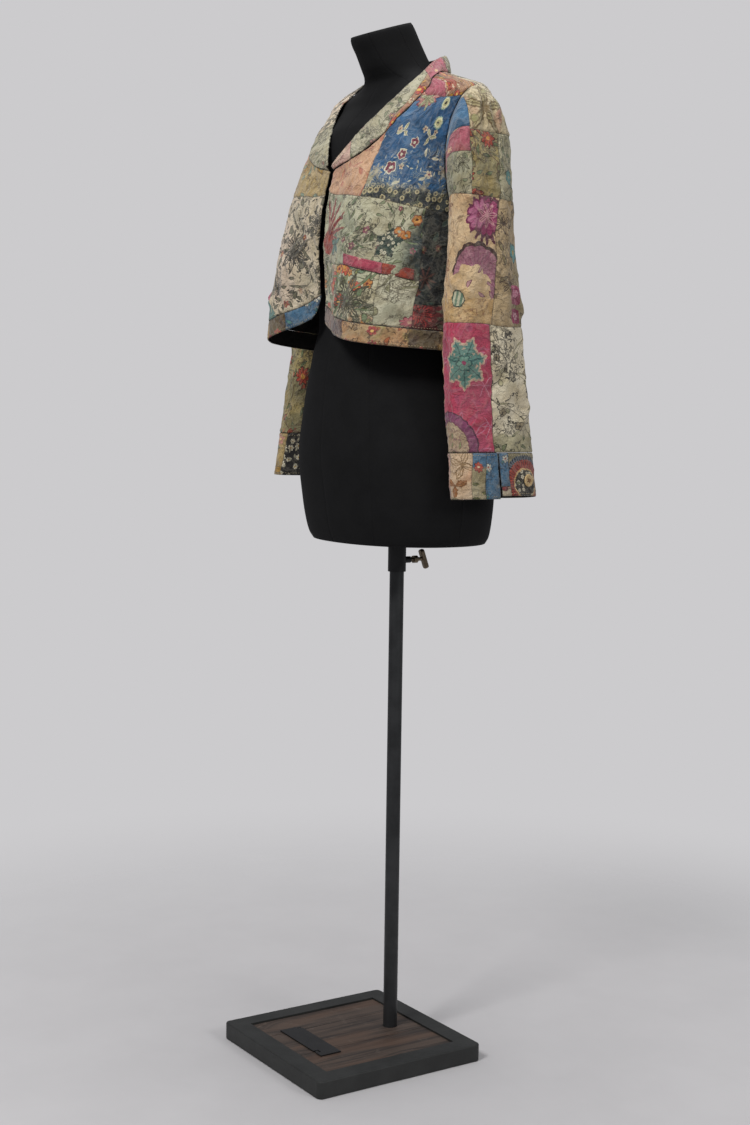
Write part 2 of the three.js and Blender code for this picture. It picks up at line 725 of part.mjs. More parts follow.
// The collar follows the neckline seam, lying on top of the panels' edge, up to its free edge.
function makeCollar() {
  const lastRow = NECKLINE.length - 1;
  const frontRows = range(STEPS.neckRows).map((t) => t * NECK_POINT);
  const backRows = range(STEPS.backNeckColumns / 2).slice(1).map((t) => mix(NECK_POINT, lastRow, t));
  const half = [...frontRows, ...backRows];
  const otherHalf = half.slice(0, -1).reverse();
  const stations = [...half.map((row) => [row, 1]), ...otherHalf.map((row) => [row, -1])];
  const place = ([row, side], v) => {
    const at = necklineAt(row);
    const root = mirrored(bodyPointOn(side, radians(at.angle), at.z, LAID_OUT + SEAM_GAP), side);
    const edge = new THREE.Vector3(at.edgeX * side, at.edgeY, at.edgeZ);
    const point = root.lerp(edge, v);
    const bow = COLLAR_BOW * Math.sin(Math.PI * v);
    const out = new THREE.Vector3(point.x, point.y, 30).normalize();
    return point.addScaledVector(out, bow);
  };
  const grid = range(4).map((v) => stations.map((station) => place(station, v)));
  return wall(grid, CLOTH, (point) => new THREE.Vector3(0, 0, point.z - 20));
}

function sleeveRow(row, side) {
  const section = sleeveSection(row);
  const end = smooth(row / (SLEEVE_SECTIONS.length - 1));
  const centreY = side > 0 ? section.leftY : section.rightY;
  return { ...section, centreY, lift: side > 0 ? 0 : RIGHT_LIFT * end };
}

// A point of the sleeve: the turn runs from the outside towards the front.
function sleevePoint(section, turn, side, fold = true) {
  const c = Math.cos(turn);
  const s = Math.sin(turn);
  const squared = squareness(s, c, section.square);
  const across = (1 + c * squared) / 2;
  const z = mix(section.inZ, section.outZ, across) + section.lift;
  const depth = fold ? foldDepth(SLEEVE_FOLDS, side > 0 ? turn : -turn, z) : 0;
  const x = mix(section.inX, section.outX, across) + depth * c;
  return new THREE.Vector3(x * side, section.centreY - (section.deep * squared + depth) * s, z);
}

function armholePoint(turn, side) {
  const [angle, z] = armholePlace(Math.atan2(Math.sin(turn), Math.cos(turn)));
  return mirrored(bodyPointOn(side, angle, z, LAID_OUT + SEAM_GAP), side);
}

function sleeveAxis(side) {
  const { x, upperX, y, headZ, from, to } = SLEEVE_AXIS;
  return (point) => {
    const z = mix(point.z, headZ, smooth((point.z - from) / (to - from)));
    return new THREE.Vector3(side * (point.z > (from + to) / 2 ? upperX : x), side > 0 ? y : 0, z);
  };
}

function makeSleeve(side) {
  const columns = 2 * STEPS.armRows;
  const turns = range(columns).slice(0, -1).map((t) => t * FULL_TURN);
  const lastRow = SLEEVE_SECTIONS.length - 1;
  const rows = range(SLEEVE_ROWS).map((t) => t * lastRow);
  const grid = [turns.map((turn) => armholePoint(turn, side))];
  for (const row of rows) {
    const section = sleeveRow(row, side);
    grid.push(turns.map((turn) => sleevePoint(section, turn, side)));
  }
  return wall(grid, CLOTH, sleeveAxis(side), true);
}

// The cuff is a band that is open at its vent, where its rear end stands out a little.
function cuffPoint(u, v, side, out = 0) {
  const section = sleeveRow(SLEEVE_SECTIONS.length - 1, side);
  const vent = radians(CUFF.ventAngle);
  const open = CUFF.ventGap / section.deep / 2;
  const turn = mix(vent + open, vent + FULL_TURN - open, u);
  const rear = smooth((u - 0.88) / 0.12);
  const drop = 2 * SEAM_GAP + v * (CUFF.height - CUFF.step * smooth((u - 0.6) / 0.4));
  const grow = CUFF.spread * v + CUFF.flare * rear * v + out;
  const middle = (section.inX + section.outX) / 2;
  const wide = (section.outX - section.inX) / 2 + grow;
  const level = { ...section, inX: middle - wide, outX: middle + wide, deep: section.deep + grow };
  const point = sleevePoint(level, turn, side, false);
  point.z -= drop;
  point.y += (side > 0 ? CUFF.leanLeft : CUFF.leanRight) * v;
  return point;
}

function makeCuff(side) {
  const grid = gridOf(range(30), range(3), (u, v) => cuffPoint(u, v, side));
  const centre = cuffPoint(0.25, 0.5, side).add(cuffPoint(0.75, 0.5, side)).multiplyScalar(0.5);
  return wall(grid, CLOTH, (point) => new THREE.Vector3(centre.x, centre.y, point.z));
}

function makeWelt() {
  const grid = gridOf(range(10), range(2), (u, v) => {
    const z = mix(WELT.zFrom, WELT.zTo, u) + WELT.height * (v - 0.5);
    return bodyPoint(radians(mix(WELT.from, WELT.to, u)), z, LAID_OUT + 2 * SEAM_GAP);
  });
  return wall(grid, WELT.thick, bodyAxis);
}

function makeButton(side) {
  const { radius, thick, rim } = BUTTON;
  const profile = [
    [0, 0],
    [radius * 0.8, 0],
    [radius, thick * 0.35],
    [radius, thick * 0.75],
    [radius - rim * 0.6, thick],
    [radius - 2 * rim, thick],
    [radius - 2.6 * rim, thick * 0.72],
    [0, thick * 0.72],
  ].map(([r, z]) => new THREE.Vector2(r, z));
  const disc = new THREE.LatheGeometry(profile, 28).rotateX(RIGHT_ANGLE);
  const holes = [[1, 1], [1, -1], [-1, 1], [-1, -1]].map(([x, y]) => {
    const hole = uprightCylinder(BUTTON.hole, -1, thick + 1, 10);
    return hole.translate((x * BUTTON.holeSpread) / 2, (y * BUTTON.holeSpread) / 2, 0);
  });
  const u = 1 + (BUTTON.angle - CUFF.ventAngle) / 360;
  const v = BUTTON.along;
  const at = cuffPoint(u, v, side);
  const along = cuffPoint(u + 0.02, v, side).sub(cuffPoint(u - 0.02, v, side));
  const up = cuffPoint(u, v - 0.1, side).sub(cuffPoint(u, v + 0.1, side));
  const normal = along.clone().cross(up).normalize();
  if (normal.x * side < 0) normal.negate();
  const turned = new THREE.Quaternion().setFromUnitVectors(new THREE.Vector3(0, 0, 1), normal);
  const spot = at.addScaledVector(normal, CLOTH + 0.45);
  return cut(disc, ...holes).applyQuaternion(turned).translate(spot.x, spot.y, spot.z);
}

makeBase();
makePlate();
makePole();
makeSocket();
makeThumbScrew();
makeForm();
add('front_left', makeFront(1), 'blue');
add('front_right', makeFront(-1), 'cream');
add('back', makeBack(), 'sage');
add('hem_band_left', makeHemBand(0, RIGHT_ANGLE, { hem: HEM.left, sign: 1 }, frontEdge(1), 'right'), 'cream');
add('hem_band_right', makeHemBand(0, RIGHT_ANGLE, { hem: HEM.right, sign: -1 }, frontEdge(-1), 'right'), 'cream');
const backBand = makeHemBand(RIGHT_ANGLE, FULL_TURN - RIGHT_ANGLE, { hem: HEM.left }, null, 'left right');
add('hem_band_back', backBand, 'rose');
add('collar', makeCollar(), 'sage');
add('pocket_welt', makeWelt(), 'rose');
for (const [name, side] of [['left', 1], ['right', -1]]) {
  add(`sleeve_${name}`, makeSleeve(side), 'cream');
  add(`cuff_${name}`, makeCuff(side), 'blue');
  add(`cuff_button_${name}`, makeButton(side), 'button');
}

export default model;
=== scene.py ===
# Looks of a cropped patchwork jacket on a limbless dress form.
# Sizes in the tables are millimetres and degrees; Blender's objects are in metres.
import math

import bmesh
import bpy
import numpy as np
from mathutils import Matrix, Vector
from mathutils.bvhtree import BVHTree
from mathutils.kdtree import KDTree


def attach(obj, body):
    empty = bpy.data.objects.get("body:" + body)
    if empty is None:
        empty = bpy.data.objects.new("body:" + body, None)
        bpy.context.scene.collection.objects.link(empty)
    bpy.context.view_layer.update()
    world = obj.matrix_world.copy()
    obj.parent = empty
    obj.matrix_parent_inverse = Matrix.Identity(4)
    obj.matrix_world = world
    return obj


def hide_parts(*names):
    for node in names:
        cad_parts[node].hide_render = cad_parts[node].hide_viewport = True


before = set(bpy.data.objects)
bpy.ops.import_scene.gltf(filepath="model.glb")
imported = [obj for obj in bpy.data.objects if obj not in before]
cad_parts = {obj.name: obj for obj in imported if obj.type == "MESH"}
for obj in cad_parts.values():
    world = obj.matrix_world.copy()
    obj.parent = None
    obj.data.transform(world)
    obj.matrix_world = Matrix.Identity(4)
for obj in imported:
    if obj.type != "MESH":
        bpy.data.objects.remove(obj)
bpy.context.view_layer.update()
MM = 0.001

# ---------------------------------------------------------------- sizes, as in the solids
CLOTH = 1.6
SHELL = CLOTH - 0.3  # thickness of the shells drawn here
SEAM_GAP = 0.3
LAID_OUT = CLOTH + SEAM_GAP


def table(names, rows):
    return {name: np.array([row[i] for row in rows], float) for i, name in enumerate(names)}


FORM_SECTIONS = table(
    ["z", "side", "front", "back", "centreY", "square", "swell", "slope"],
    [
        (828, 158, 119, 122, 0, 2.2, 0, 0),
        (838, 165, 125, 126, 0, 2.2, 0, 0),
        (860, 171, 131, 128, 0, 2.2, 0, 0),
        (890, 176, 136, 129, 0, 2.2, 0, 0),
        (970, 180, 146, 133, 0, 2.15, 0, 0),
        (1030, 170, 143, 125, 0, 2.1, 0, 0),
        (1124, 143, 133, 103, 0, 2.1, 0, 0),
        (1170, 131, 123, 92, 0, 2.1, 2, 0),
        (1250, 145, 127, 95, 0, 2.15, 7, 0),
        (1325, 166, 128, 104, 0, 2.2, 15, 0),
        (1370, 168, 123, 104, 0, 2.2, 11, 0),
        (1416, 170, 117, 102, 1, 2.15, 6, 0),
        (1463, 176, 107, 96, 3, 2.1, 2, 0),
        (1487, 180.5, 89, 87.5, 5, 2.1, 0, 0),
        (1505, 181.5, 72.5, 77.5, 5, 2.1, 0, 0),
        (1518, 168.5, 66, 69, 5, 2.1, 0, 0),
        (1530, 134, 57, 66, 4, 2.1, 0, 0),
        (1542, 88, 51, 58, 1, 2.1, 0, 0),
        (1551, 66, 54, 56, -5, 2.05, 0, 0),
        (1562, 57, 53, 55, -14, 2, 0, 0.06),
        (1590, 49, 51, 52, -30, 2, 0, 0.2),
        (1614, 46, 49, 49, -43, 2, 0, 0.32),
        (1619, 44, 47, 47, -45, 2, 0, 0.32),
    ],
)
BODY_SECTIONS = table(
    ["z", "side", "front", "back", "centreY", "square", "swell"],
    [
        (1100, 187, 139, 138, 0, 2.5, 54),
        (1146, 187, 139, 135, 0, 2.5, 53),
        (1190, 186.5, 137, 130, 0, 2.45, 52),
        (1237, 185, 140, 125, 0, 2.4, 43),
        (1290, 182.5, 144, 118, 0, 2.35, 31),
        (1325, 180, 142, 113, 0, 2.3, 25),
        (1370, 178, 134, 111, 0, 2.25, 20),
        (1416, 177, 126, 108, 1, 2.15, 11),
        (1463, 180, 112, 100, 3, 2.1, 3),
        (1487, 184.5, 93, 91.5, 5, 2.1, 0),
        (1505, 186.5, 77.2, 84.2, 5, 2.1, 0),
        (1518, 176.5, 72.2, 79.2, 5, 2.1, 0),
        (1530, 143.5, 70, 75, 4, 2.1, 0),
        (1542, 109, 68, 70, 2, 2.1, 0),
        (1551, 82, 64, 60, 0, 2.1, 0),
        (1562, 78, 62, 58, 0, 2.1, 0),
    ],
)
SWELL_AT = 40
SWELL_WIDTH = 26
BODY_FOLDS = [  # at, width, depth, from, to
    (58, 6, 5, 1150, 1420),
    (22, 6, 3.5, 1130, 1330),
    (-57, 6, 5, 1150, 1410),
    (-24, 6, 4, 1130, 1320),
    (118, 8, 6, 1120, 1400),
    (152, 8, 5, 1120, 1360),
    (-128, 9, 6, 1120, 1390),
    (-165, 7, 4, 1120, 1340),
]
FRONT_CORNER = 0.05
CENTRE_GAP = {1: 6.5, -1: 7.5}
HEM_BAND = 28
HEM_BACK = 1116
HEM_FADE = 36
HEM = {1: {"side": 1118, "rise": 51, "corner": 12}, -1: {"side": 1122, "rise": 64, "corner": 28}}
NECKLINE = table(
    ["angle", "z", "edgeX", "edgeY", "edgeZ"],
    [
        (2.4, 1399, 6, -133, 1408),
        (16.5, 1410, 27, -120, 1435),
        (28, 1427, 43, -107, 1457),
        (36, 1450, 58, -92, 1477),
        (39, 1476, 72, -77, 1496),
        (42, 1500, 82, -60, 1515),
        (52, 1524, 85, -28, 1543),
        (90, 1545, 76, 0, 1565),
        (112, 1548, 67, 22, 1576),
        (140, 1550, 45, 44, 1583),
        (180, 1551, 0, 55, 1585),
    ],
)
NECK_POINT = 7
NECK_LAST = 10
COLLAR_BOW = 2.5
COLLAR_HEIGHT = 34
ARMHOLE = {"tip": 1512, "bottom": 1292, "front": 42, "back": 48, "roundness": 0.8}
SLEEVE_SECTIONS = table(
    ["outX", "outZ", "inX", "inZ", "leftY", "rightY", "deep", "square"],
    [
        (201, 1510, 192, 1292, -2, 5, 51, 2),
        (216, 1497, 197, 1287, -4, 6, 52, 2.1),
        (228, 1468, 199.5, 1275, -7, 7, 52, 2.2),
        (235, 1422, 200, 1256, -9, 8, 52, 2.3),
        (239, 1366, 200, 1230, -9, 9, 54, 2.4),
        (241, 1308, 199.5, 1198, -9, 9, 57, 2.4),
        (243, 1246, 199, 1156, -8, 9, 61, 2.4),
        (242, 1182, 197, 1114, -4, 7, 64, 2.4),
        (239, 1112, 193, 1069, 4, 1, 67, 2.4),
        (236, 1042, 189, 1020, 14, -9, 70.5, 2.4),
        (234, 1005, 187, 995, 21, -15, 72, 2.4),
        (232.5, 975, 186, 973, 26, -20, 73, 2.4),
    ],
)
SLEEVE_LAST = 11
RIGHT_LIFT = 20
SLEEVE_FOLDS = [  # at, width, depth, from, to
    (30, 13, 5, 1060, 1430),
    (-24, 14, 5.5, 1090, 1440),
    (-62, 12, 4, 985, 1300),
    (62, 10, 3.5, 985, 1210),
    (150, 12, 3, 1000, 1220),
]
CUFF = {"height": 69, "spread": 1.5, "vent": 4, "gap": 1.6, "step": 4.5, "flare": 2.4}
CUFF_LEAN = {1: 7, -1: -9}
WELT = {"from": 28, "to": 61, "z_from": 1258, "z_to": 1233, "height": 16, "thick": 1.4}


# ---------------------------------------------------------------- surfaces
def smooth(value):
    t = np.clip(value, 0, 1)
    return t * t * (3 - 2 * t)


def mix(a, b, amount):
    return a + (b - a) * amount


def stretch(value, low, high):
    fade = (high - low) * 0.35
    return smooth((value - low) / fade) * smooth((high - value) / fade)


def curve(xs, ys):
    """Smooth curve through rows that never overshoots them."""
    slopes = np.diff(ys) / np.diff(xs)
    before = np.concatenate([slopes[:1], slopes])
    after = np.concatenate([slopes, slopes[-1:]])
    total = np.where(before * after > 0, before + after, 1)
    pulls = np.where(before * after > 0, 2 * before * after / total, 0)

    def value(at):
        x = np.clip(at, xs[0], xs[-1])
        i = np.clip(np.searchsorted(xs, x, side="left") - 1, 0, len(xs) - 2)
        width = xs[i + 1] - xs[i]
        t = (x - xs[i]) / width
        start = (2 * t**3 - 3 * t**2 + 1) * ys[i] + (t**3 - 2 * t**2 + t) * width * pulls[i]
        return start + (3 * t**2 - 2 * t**3) * ys[i + 1] + (t**3 - t**2) * width * pulls[i + 1]

    return value


def curves(rows, along=None):
    count = len(next(iter(rows.values())))
    xs = rows[along] if along else np.arange(count, dtype=float)
    parts = {key: curve(xs, ys) for key, ys in rows.items() if key != along}
    return lambda at: {key: part(np.asarray(at, float)) for key, part in parts.items()}


form_section = curves(FORM_SECTIONS, "z")
body_section = curves(BODY_SECTIONS, "z")
neckline_at = curves(NECKLINE)
sleeve_section = curves(SLEEVE_SECTIONS)


def squareness(s, c, power):
    return (np.abs(s) ** power + np.abs(c) ** power) ** (-1 / power)


def turn_between(angle, other):
    turn = angle - other
    return np.arctan2(np.sin(turn), np.cos(turn))


def section_point(section, angle, z):
    s, c = np.sin(angle), np.cos(angle)
    squared = squareness(s, c, section["square"])
    depth = np.where(c > 0, section["front"], section["back"])
    away = (np.abs(np.arctan2(s, c)) - math.radians(SWELL_AT)) / math.radians(SWELL_WIDTH)
    y = section["centreY"] - depth * c * squared - section["swell"] * np.exp(-away * away)
    rise = section.get("slope", 0) * (y - section["centreY"])
    return np.stack([section["side"] * s * squared, y, z + rise], -1)


def plain_body(angle, z):
    return section_point(body_section(z), angle, z)


def fold_depth(folds, angle, z):
    depth = 0
    for at, width, deep, low, high in folds:
        away = turn_between(angle, math.radians(at)) / math.radians(width)
        depth = depth + deep * np.exp(-away * away) * stretch(z, low, high)
    return depth


def unit(vectors):
    return vectors / np.maximum(np.linalg.norm(vectors, axis=-1, keepdims=True), 1e-9)


def body_normal(angle, z):
    around = plain_body(angle + 0.01, z) - plain_body(angle - 0.01, z)
    up = plain_body(angle, z + 1) - plain_body(angle, z - 1)
    return unit(np.cross(around, up))


def body_surface(angle, z, out=0):
    """The jacket's body at the inside of its cloth; a negative angle is the wearer's right."""
    depth = fold_depth(BODY_FOLDS, angle, z) + out
    return plain_body(angle, z) + body_normal(angle, z) * np.asarray(depth)[..., None]


def bisect(reaches, low, high, shape):
    low, high = np.full(shape, low, float), np.full(shape, high, float)
    for _ in range(36):
        middle = (low + high) / 2
        hit = reaches(middle)
        high = np.where(hit, middle, high)
        low = np.where(hit, low, middle)
    return (low + high) / 2


def angle_at_x(x, z):
    x, z = np.broadcast_arrays(np.asarray(x, float), np.asarray(z, float))
    return bisect(lambda a: plain_body(a, z)[..., 0] > x, 0, math.pi / 2, z.shape)


def angle_at_depth(depth, z):
    depth, z = np.broadcast_arrays(np.asarray(depth, float), np.asarray(z, float))
    middle = body_section(z)["centreY"]

    def reaches(angle):
        return plain_body(angle, z)[..., 1] - middle > -depth

    ahead = bisect(reaches, 0.6, math.pi / 2, z.shape)
    behind = bisect(reaches, math.pi / 2, math.pi - 0.6, z.shape)
    return np.where(depth >= 0, ahead, behind)


# ---------------------------------------------------------------- edges of the panels
def hem_height(angle, side):
    away = np.abs(turn_between(angle, 0))
    turned = smooth((away - math.pi / 2) / (math.pi / 2))
    front = HEM[side]["side"] + HEM[side]["rise"] * np.exp(-away / math.radians(HEM_FADE))
    return mix(front, HEM_BACK, turned)


def front_edge(side, z):
    corner = HEM[side]["corner"]
    short = np.clip(1 - (z - hem_height(FRONT_CORNER, side)) / corner, 0, 1)
    rounding = corner * (1 - np.sqrt(1 - short * short * 0.9))
    gap = CENTRE_GAP[side]
    return angle_at_x(mix(gap, gap * 0.75, smooth((z - 1300) / 100)) + rounding, z)


def armhole_place(turn):
    z = mix(ARMHOLE["bottom"], ARMHOLE["tip"], (1 + np.cos(turn)) / 2)
    s = np.sin(turn)
    depth = np.where(s >= 0, ARMHOLE["front"], ARMHOLE["back"])
    return angle_at_depth(np.sign(s) * depth * np.abs(s) ** ARMHOLE["roundness"], z), z


def neck_place(row):
    at = neckline_at(row)
    return np.radians(at["angle"]), at["z"]


def shoulder_place(along):
    z = mix(NECKLINE["z"][NECK_POINT], ARMHOLE["tip"], along)
    return np.full(np.shape(z), math.pi / 2), z


def coons(bottom, top, left, right, us, vs):
    """Angles and heights of a grid between four edges."""
    u, v = np.meshgrid(us, vs)
    one = np.ones(1)
    result = []
    for k in range(2):
        b, t, l, r = bottom(us)[k], top(us)[k], left(vs)[k][:, None], right(vs)[k][:, None]
        b0, b1 = bottom(0 * one)[k][0], bottom(one)[k][0]
        t0, t1 = top(0 * one)[k][0], top(one)[k][0]
        rows = mix(b[None, :], t[None, :], v) + mix(l, r, u)
        result.append(rows - mix(mix(b0, b1, u), mix(t0, t1, u), v))
    return result


SIDE_SHARE = 7 / 20  # share of a panel's height below the armhole
CENTRE_SHARE = 10 / 20  # share of a front's height below the point of the V


def front_grid(side, columns, rows):
    start = float(front_edge(side, np.array(hem_height(FRONT_CORNER, side) + HEM_BAND)))
    start_z = float(hem_height(start, side) + HEM_BAND)

    def bottom(u):
        angle = mix(start, math.pi / 2, u)
        return angle, hem_height(angle, side) + HEM_BAND

    def inner(v):
        z = mix(start_z, NECKLINE["z"][0], np.minimum(v / CENTRE_SHARE, 1))
        neck = neck_place(np.maximum((v - CENTRE_SHARE) / (1 - CENTRE_SHARE), 0) * NECK_POINT)
        low = v <= CENTRE_SHARE
        return np.where(low, front_edge(side, z), neck[0]), np.where(low, z, neck[1])

    return coons(bottom, shoulder_place, inner, side_and_armhole(side, 1),
                 np.linspace(0, 1, columns), np.linspace(0, 1, rows))


def side_and_armhole(side, facing):
    seam = float(hem_height(math.pi / 2, side) + HEM_BAND)

    def outer(v):
        z = mix(seam, ARMHOLE["bottom"], np.minimum(v / SIDE_SHARE, 1))
        turn = math.pi * (1 - np.maximum((v - SIDE_SHARE) / (1 - SIDE_SHARE), 0))
        arm = armhole_place(facing * turn)
        low = v <= SIDE_SHARE
        return np.where(low, math.pi / 2, arm[0]), np.where(low, z, arm[1])

    return outer


def back_grid(columns, rows):
    share = 6 / 28  # share of the top edge that is one shoulder seam

    def half_top(at):
        shoulder = shoulder_place(1 - np.minimum(at / share, 1))
        neck = neck_place(mix(NECK_POINT, NECK_LAST, np.maximum((at - share) / (0.5 - share), 0)))
        low = at <= share
        return np.where(low, shoulder[0], neck[0]), np.where(low, shoulder[1], neck[1])

    def top(u):
        angle, z = half_top(np.minimum(u, 1 - u))
        return np.where(u > 0.5, 2 * math.pi - angle, angle), z

    def bottom(u):
        angle = mix(math.pi / 2, 1.5 * math.pi, u)
        return angle, hem_height(angle, 1) + HEM_BAND

    outer = side_and_armhole(1, -1)

    def other(v):
        angle, z = outer(v)
        return 2 * math.pi - angle, z

    return coons(bottom, top, outer, other, np.linspace(0, 1, columns), np.linspace(0, 1, rows))


def sleeve_row(row, side):
    section = sleeve_section(np.maximum(row, 0))
    end = smooth(np.maximum(row, 0) / SLEEVE_LAST)
    section["centreY"] = section["leftY"] if side > 0 else section["rightY"]
    section["lift"] = 0 * end if side > 0 else RIGHT_LIFT * end
    return section


def sleeve_point(section, turn, side, out=0, fold=True):
    c, s = np.cos(turn), np.sin(turn)
    squared = squareness(s, c, section["square"])
    across = (1 + c * squared) / 2
    z = mix(section["inZ"], section["outZ"], across) + section["lift"]
    depth = out + (fold_depth(SLEEVE_FOLDS, turn * side, z) if fold else 0)
    x = mix(section["inX"], section["outX"], across) + depth * c
    y = section["centreY"] - (section["deep"] * squared + depth) * s
    return np.stack(np.broadcast_arrays(x * side, y, z), -1)


def armhole_point(turn, side, out=0):
    angle, z = armhole_place(turn_between(turn, 0))
    return body_surface(side * angle, z, LAID_OUT + SEAM_GAP + out)


def sleeve_surface(turn, row, side, out=0):
    """Rows below 0 run from the armhole's seam into the head of the sleeve."""
    turn, row, out = np.broadcast_arrays(turn, row, out)
    below = np.maximum(row, 0)
    point = sleeve_point(sleeve_row(below, side), turn, side, out)
    head = row < 0
    if head.any():
        t = np.clip(row[head] + 1, 0, 1)[:, None]
        turns, outs = turn[head], out[head]
        zero = np.zeros(turns.shape)
        a = armhole_point(turns, side, outs)
        b = sleeve_point(sleeve_row(zero, side), turns, side, outs)
        pull = sleeve_point(sleeve_row(zero + 0.5, side), turns, side, outs) - b
        start = np.array([12.0 * side, 0, 0])
        point[head] = ((2 * t**3 - 3 * t**2 + 1) * a + (t**3 - 2 * t**2 + t) * start
                       + (3 * t**2 - 2 * t**3) * b + (t**3 - t**2) * pull)
    return point


def cuff_surface(u, v, side, out=0):
    """One way round from the vent, and down from the sleeve's end."""
    section = sleeve_row(np.full(np.shape(u), float(SLEEVE_LAST)), side)
    vent = math.radians(CUFF["vent"])
    opening = CUFF["gap"] / section["deep"] / 2
    turn = mix(vent + opening, vent + 2 * math.pi - opening, u)
    rear = smooth((u - 0.88) / 0.12)
    drop = 2 * SEAM_GAP + v * (CUFF["height"] - CUFF["step"] * smooth((u - 0.6) / 0.4))
    grow = CUFF["spread"] * v + CUFF["flare"] * rear * v + out
    middle = (section["inX"] + section["outX"]) / 2
    wide = (section["outX"] - section["inX"]) / 2 + grow
    level = dict(section, inX=middle - wide, outX=middle + wide, deep=section["deep"] + grow)
    point = sleeve_point(level, turn, side, 0, False)
    point[..., 2] -= drop
    point[..., 1] += CUFF_LEAN[side] * v
    return point


def collar_surface(way, v, out=0):
    """The way runs from the wearer's left point of the V round the neck to the right one."""
    at = neckline_at(np.where(way > NECK_LAST, 2 * NECK_LAST - way, way))
    side = np.where(way > NECK_LAST, -1, 1)
    root = body_surface(side * np.radians(at["angle"]), at["z"], LAID_OUT + SEAM_GAP)
    edge = np.stack([at["edgeX"] * side, at["edgeY"], at["edgeZ"]], -1)
    point = root + (edge - root) * v[..., None]
    away = unit(np.stack([point[..., 0], point[..., 1], 0 * v + 30], -1))
    return point + away * (COLLAR_BOW * np.sin(math.pi * v) + out)[..., None]


# ---------------------------------------------------------------- shader building
def srgb(text):
    parts = [int(text[i:i + 2], 16) / 255 for i in (0, 2, 4)]
    return [p / 12.92 if p <= 0.04045 else ((p + 0.055) / 1.055) ** 2.4 for p in parts] + [1.0]


class Value:
    """What a shader node gives; arithmetic on a number adds nodes to its tree."""

    def __init__(self, net, socket):
        self.net = net
        self.socket = socket

    def __add__(self, other):
        return self.net.math("ADD", self, other)

    def __sub__(self, other):
        return self.net.math("SUBTRACT", self, other)

    def __rsub__(self, other):
        return self.net.math("SUBTRACT", other, self)

    def __mul__(self, other):
        return self.net.math("MULTIPLY", self, other)

    def __truediv__(self, other):
        return self.net.math("DIVIDE", self, other)

    def __rtruediv__(self, other):
        return self.net.math("DIVIDE", other, self)

    def __mod__(self, other):
        return self.net.math("FLOORED_MODULO", self, other)

    def __abs__(self):
        return self.net.math("ABSOLUTE", self)

    __radd__ = __add__
    __rmul__ = __mul__


class Net:
    """Adds nodes to a tree; a number, colour or value can go into any input."""

    def __init__(self, tree):
        self.tree = tree

    def put(self, value, socket):
        if isinstance(value, Value):
            self.tree.links.new(value.socket, socket)
        else:
            socket.default_value = value

    def node(self, kind, inputs=None, **settings):
        node = self.tree.nodes.new(kind)
        for key, value in settings.items():
            setattr(node, key, value)
        for key, value in (inputs or {}).items():
            self.put(value, node.inputs[key])
        return node

    def out(self, node, key=0):
        return Value(self, node.outputs[key])

    def outs(self, node):
        return {socket.name: Value(self, socket) for socket in node.outputs}

    def math(self, operation, *values):
        return self.out(self.node("ShaderNodeMath", dict(enumerate(values)), operation=operation))

    def vector(self, operation, *values):
        return self.out(self.node("ShaderNodeVectorMath", dict(enumerate(values)), operation=operation))

    def scaled(self, vector, scale):
        return self.out(self.node("ShaderNodeVectorMath", {0: vector, "Scale": scale}, operation="SCALE"))

    def turned(self, vector, degrees):
        inputs = {"Vector": vector, "Angle": math.radians(degrees)}
        return self.out(self.node("ShaderNodeVectorRotate", inputs, rotation_type="Z_AXIS"))

    def mix(self, amount, a, b, blend="MIX"):
        node = self.node("ShaderNodeMix", data_type="RGBA", blend_type=blend)
        for index, value in ((0, amount), (6, a), (7, b)):
            self.put(value, node.inputs[index])
        return self.out(node, 2)

    def ramp(self, value, low, high):
        """0 below low and 1 above high, smooth between them; low may be the larger."""
        inputs = {"Value": value, "From Min": low, "From Max": high, "To Min": 0.0, "To Max": 1.0}
        return self.out(self.node("ShaderNodeMapRange", inputs, interpolation_type="SMOOTHSTEP"))

    def noise(self, vector, scale, detail=2.0, rough=0.5, warp=0.0, dims="3D", key="Fac"):
        inputs = {"Vector": vector, "Scale": scale, "Detail": detail, "Roughness": rough, "Distortion": warp}
        return self.out(self.node("ShaderNodeTexNoise", inputs, noise_dimensions=dims), key)

    def waver(self, vector, scale, detail, rough, by):
        """An uneven shift of the place, at most half of by."""
        cloud = self.noise(vector, scale, detail, rough, 0.0, "2D", "Color")
        return self.scaled(self.vector("SUBTRACT", cloud, (0.5, 0.5, 0.5)), by)

    def parts(self, vector):
        return [self.out(self.node("ShaderNodeSeparateXYZ", {0: vector}), i) for i in range(3)]

    def length(self, x, y):
        return self.math("SQRT", x * x + y * y)

    def group(self, tree, **inputs):
        node = self.tree.nodes.new("ShaderNodeGroup")
        node.node_tree = tree
        for key, value in inputs.items():
            self.put(value, node.inputs[key])
        return self.outs(node)

    def bump(self, strength, distance, height, **more):
        inputs = {"Strength": strength, "Distance": distance, "Height": height, **more}
        return self.out(self.node("ShaderNodeBump", inputs))


def new_group(name, inputs, outputs, build):
    tree = bpy.data.node_groups.new(name, "ShaderNodeTree")
    for way, keys in (("INPUT", inputs), ("OUTPUT", outputs)):
        for key in keys.split():
            kind = "NodeSocketVector" if key in ("Vector", "Local", "Seed") else "NodeSocketFloat"
            tree.interface.new_socket(key, in_out=way, socket_type=kind)
    net = Net(tree)
    made = build(net, net.outs(net.node("NodeGroupInput")))
    end = net.node("NodeGroupOutput")
    for key, value in made.items():
        net.put(value, end.inputs[key])
    return tree


def new_material(name):
    material = bpy.data.materials.new(name)
    material.use_nodes = True
    net = Net(material.node_tree)
    return material, net, net.tree.nodes["Principled BSDF"]


def set_shader(net, shader, values):
    for key, value in values.items():
        net.put(value, shader.inputs[key])


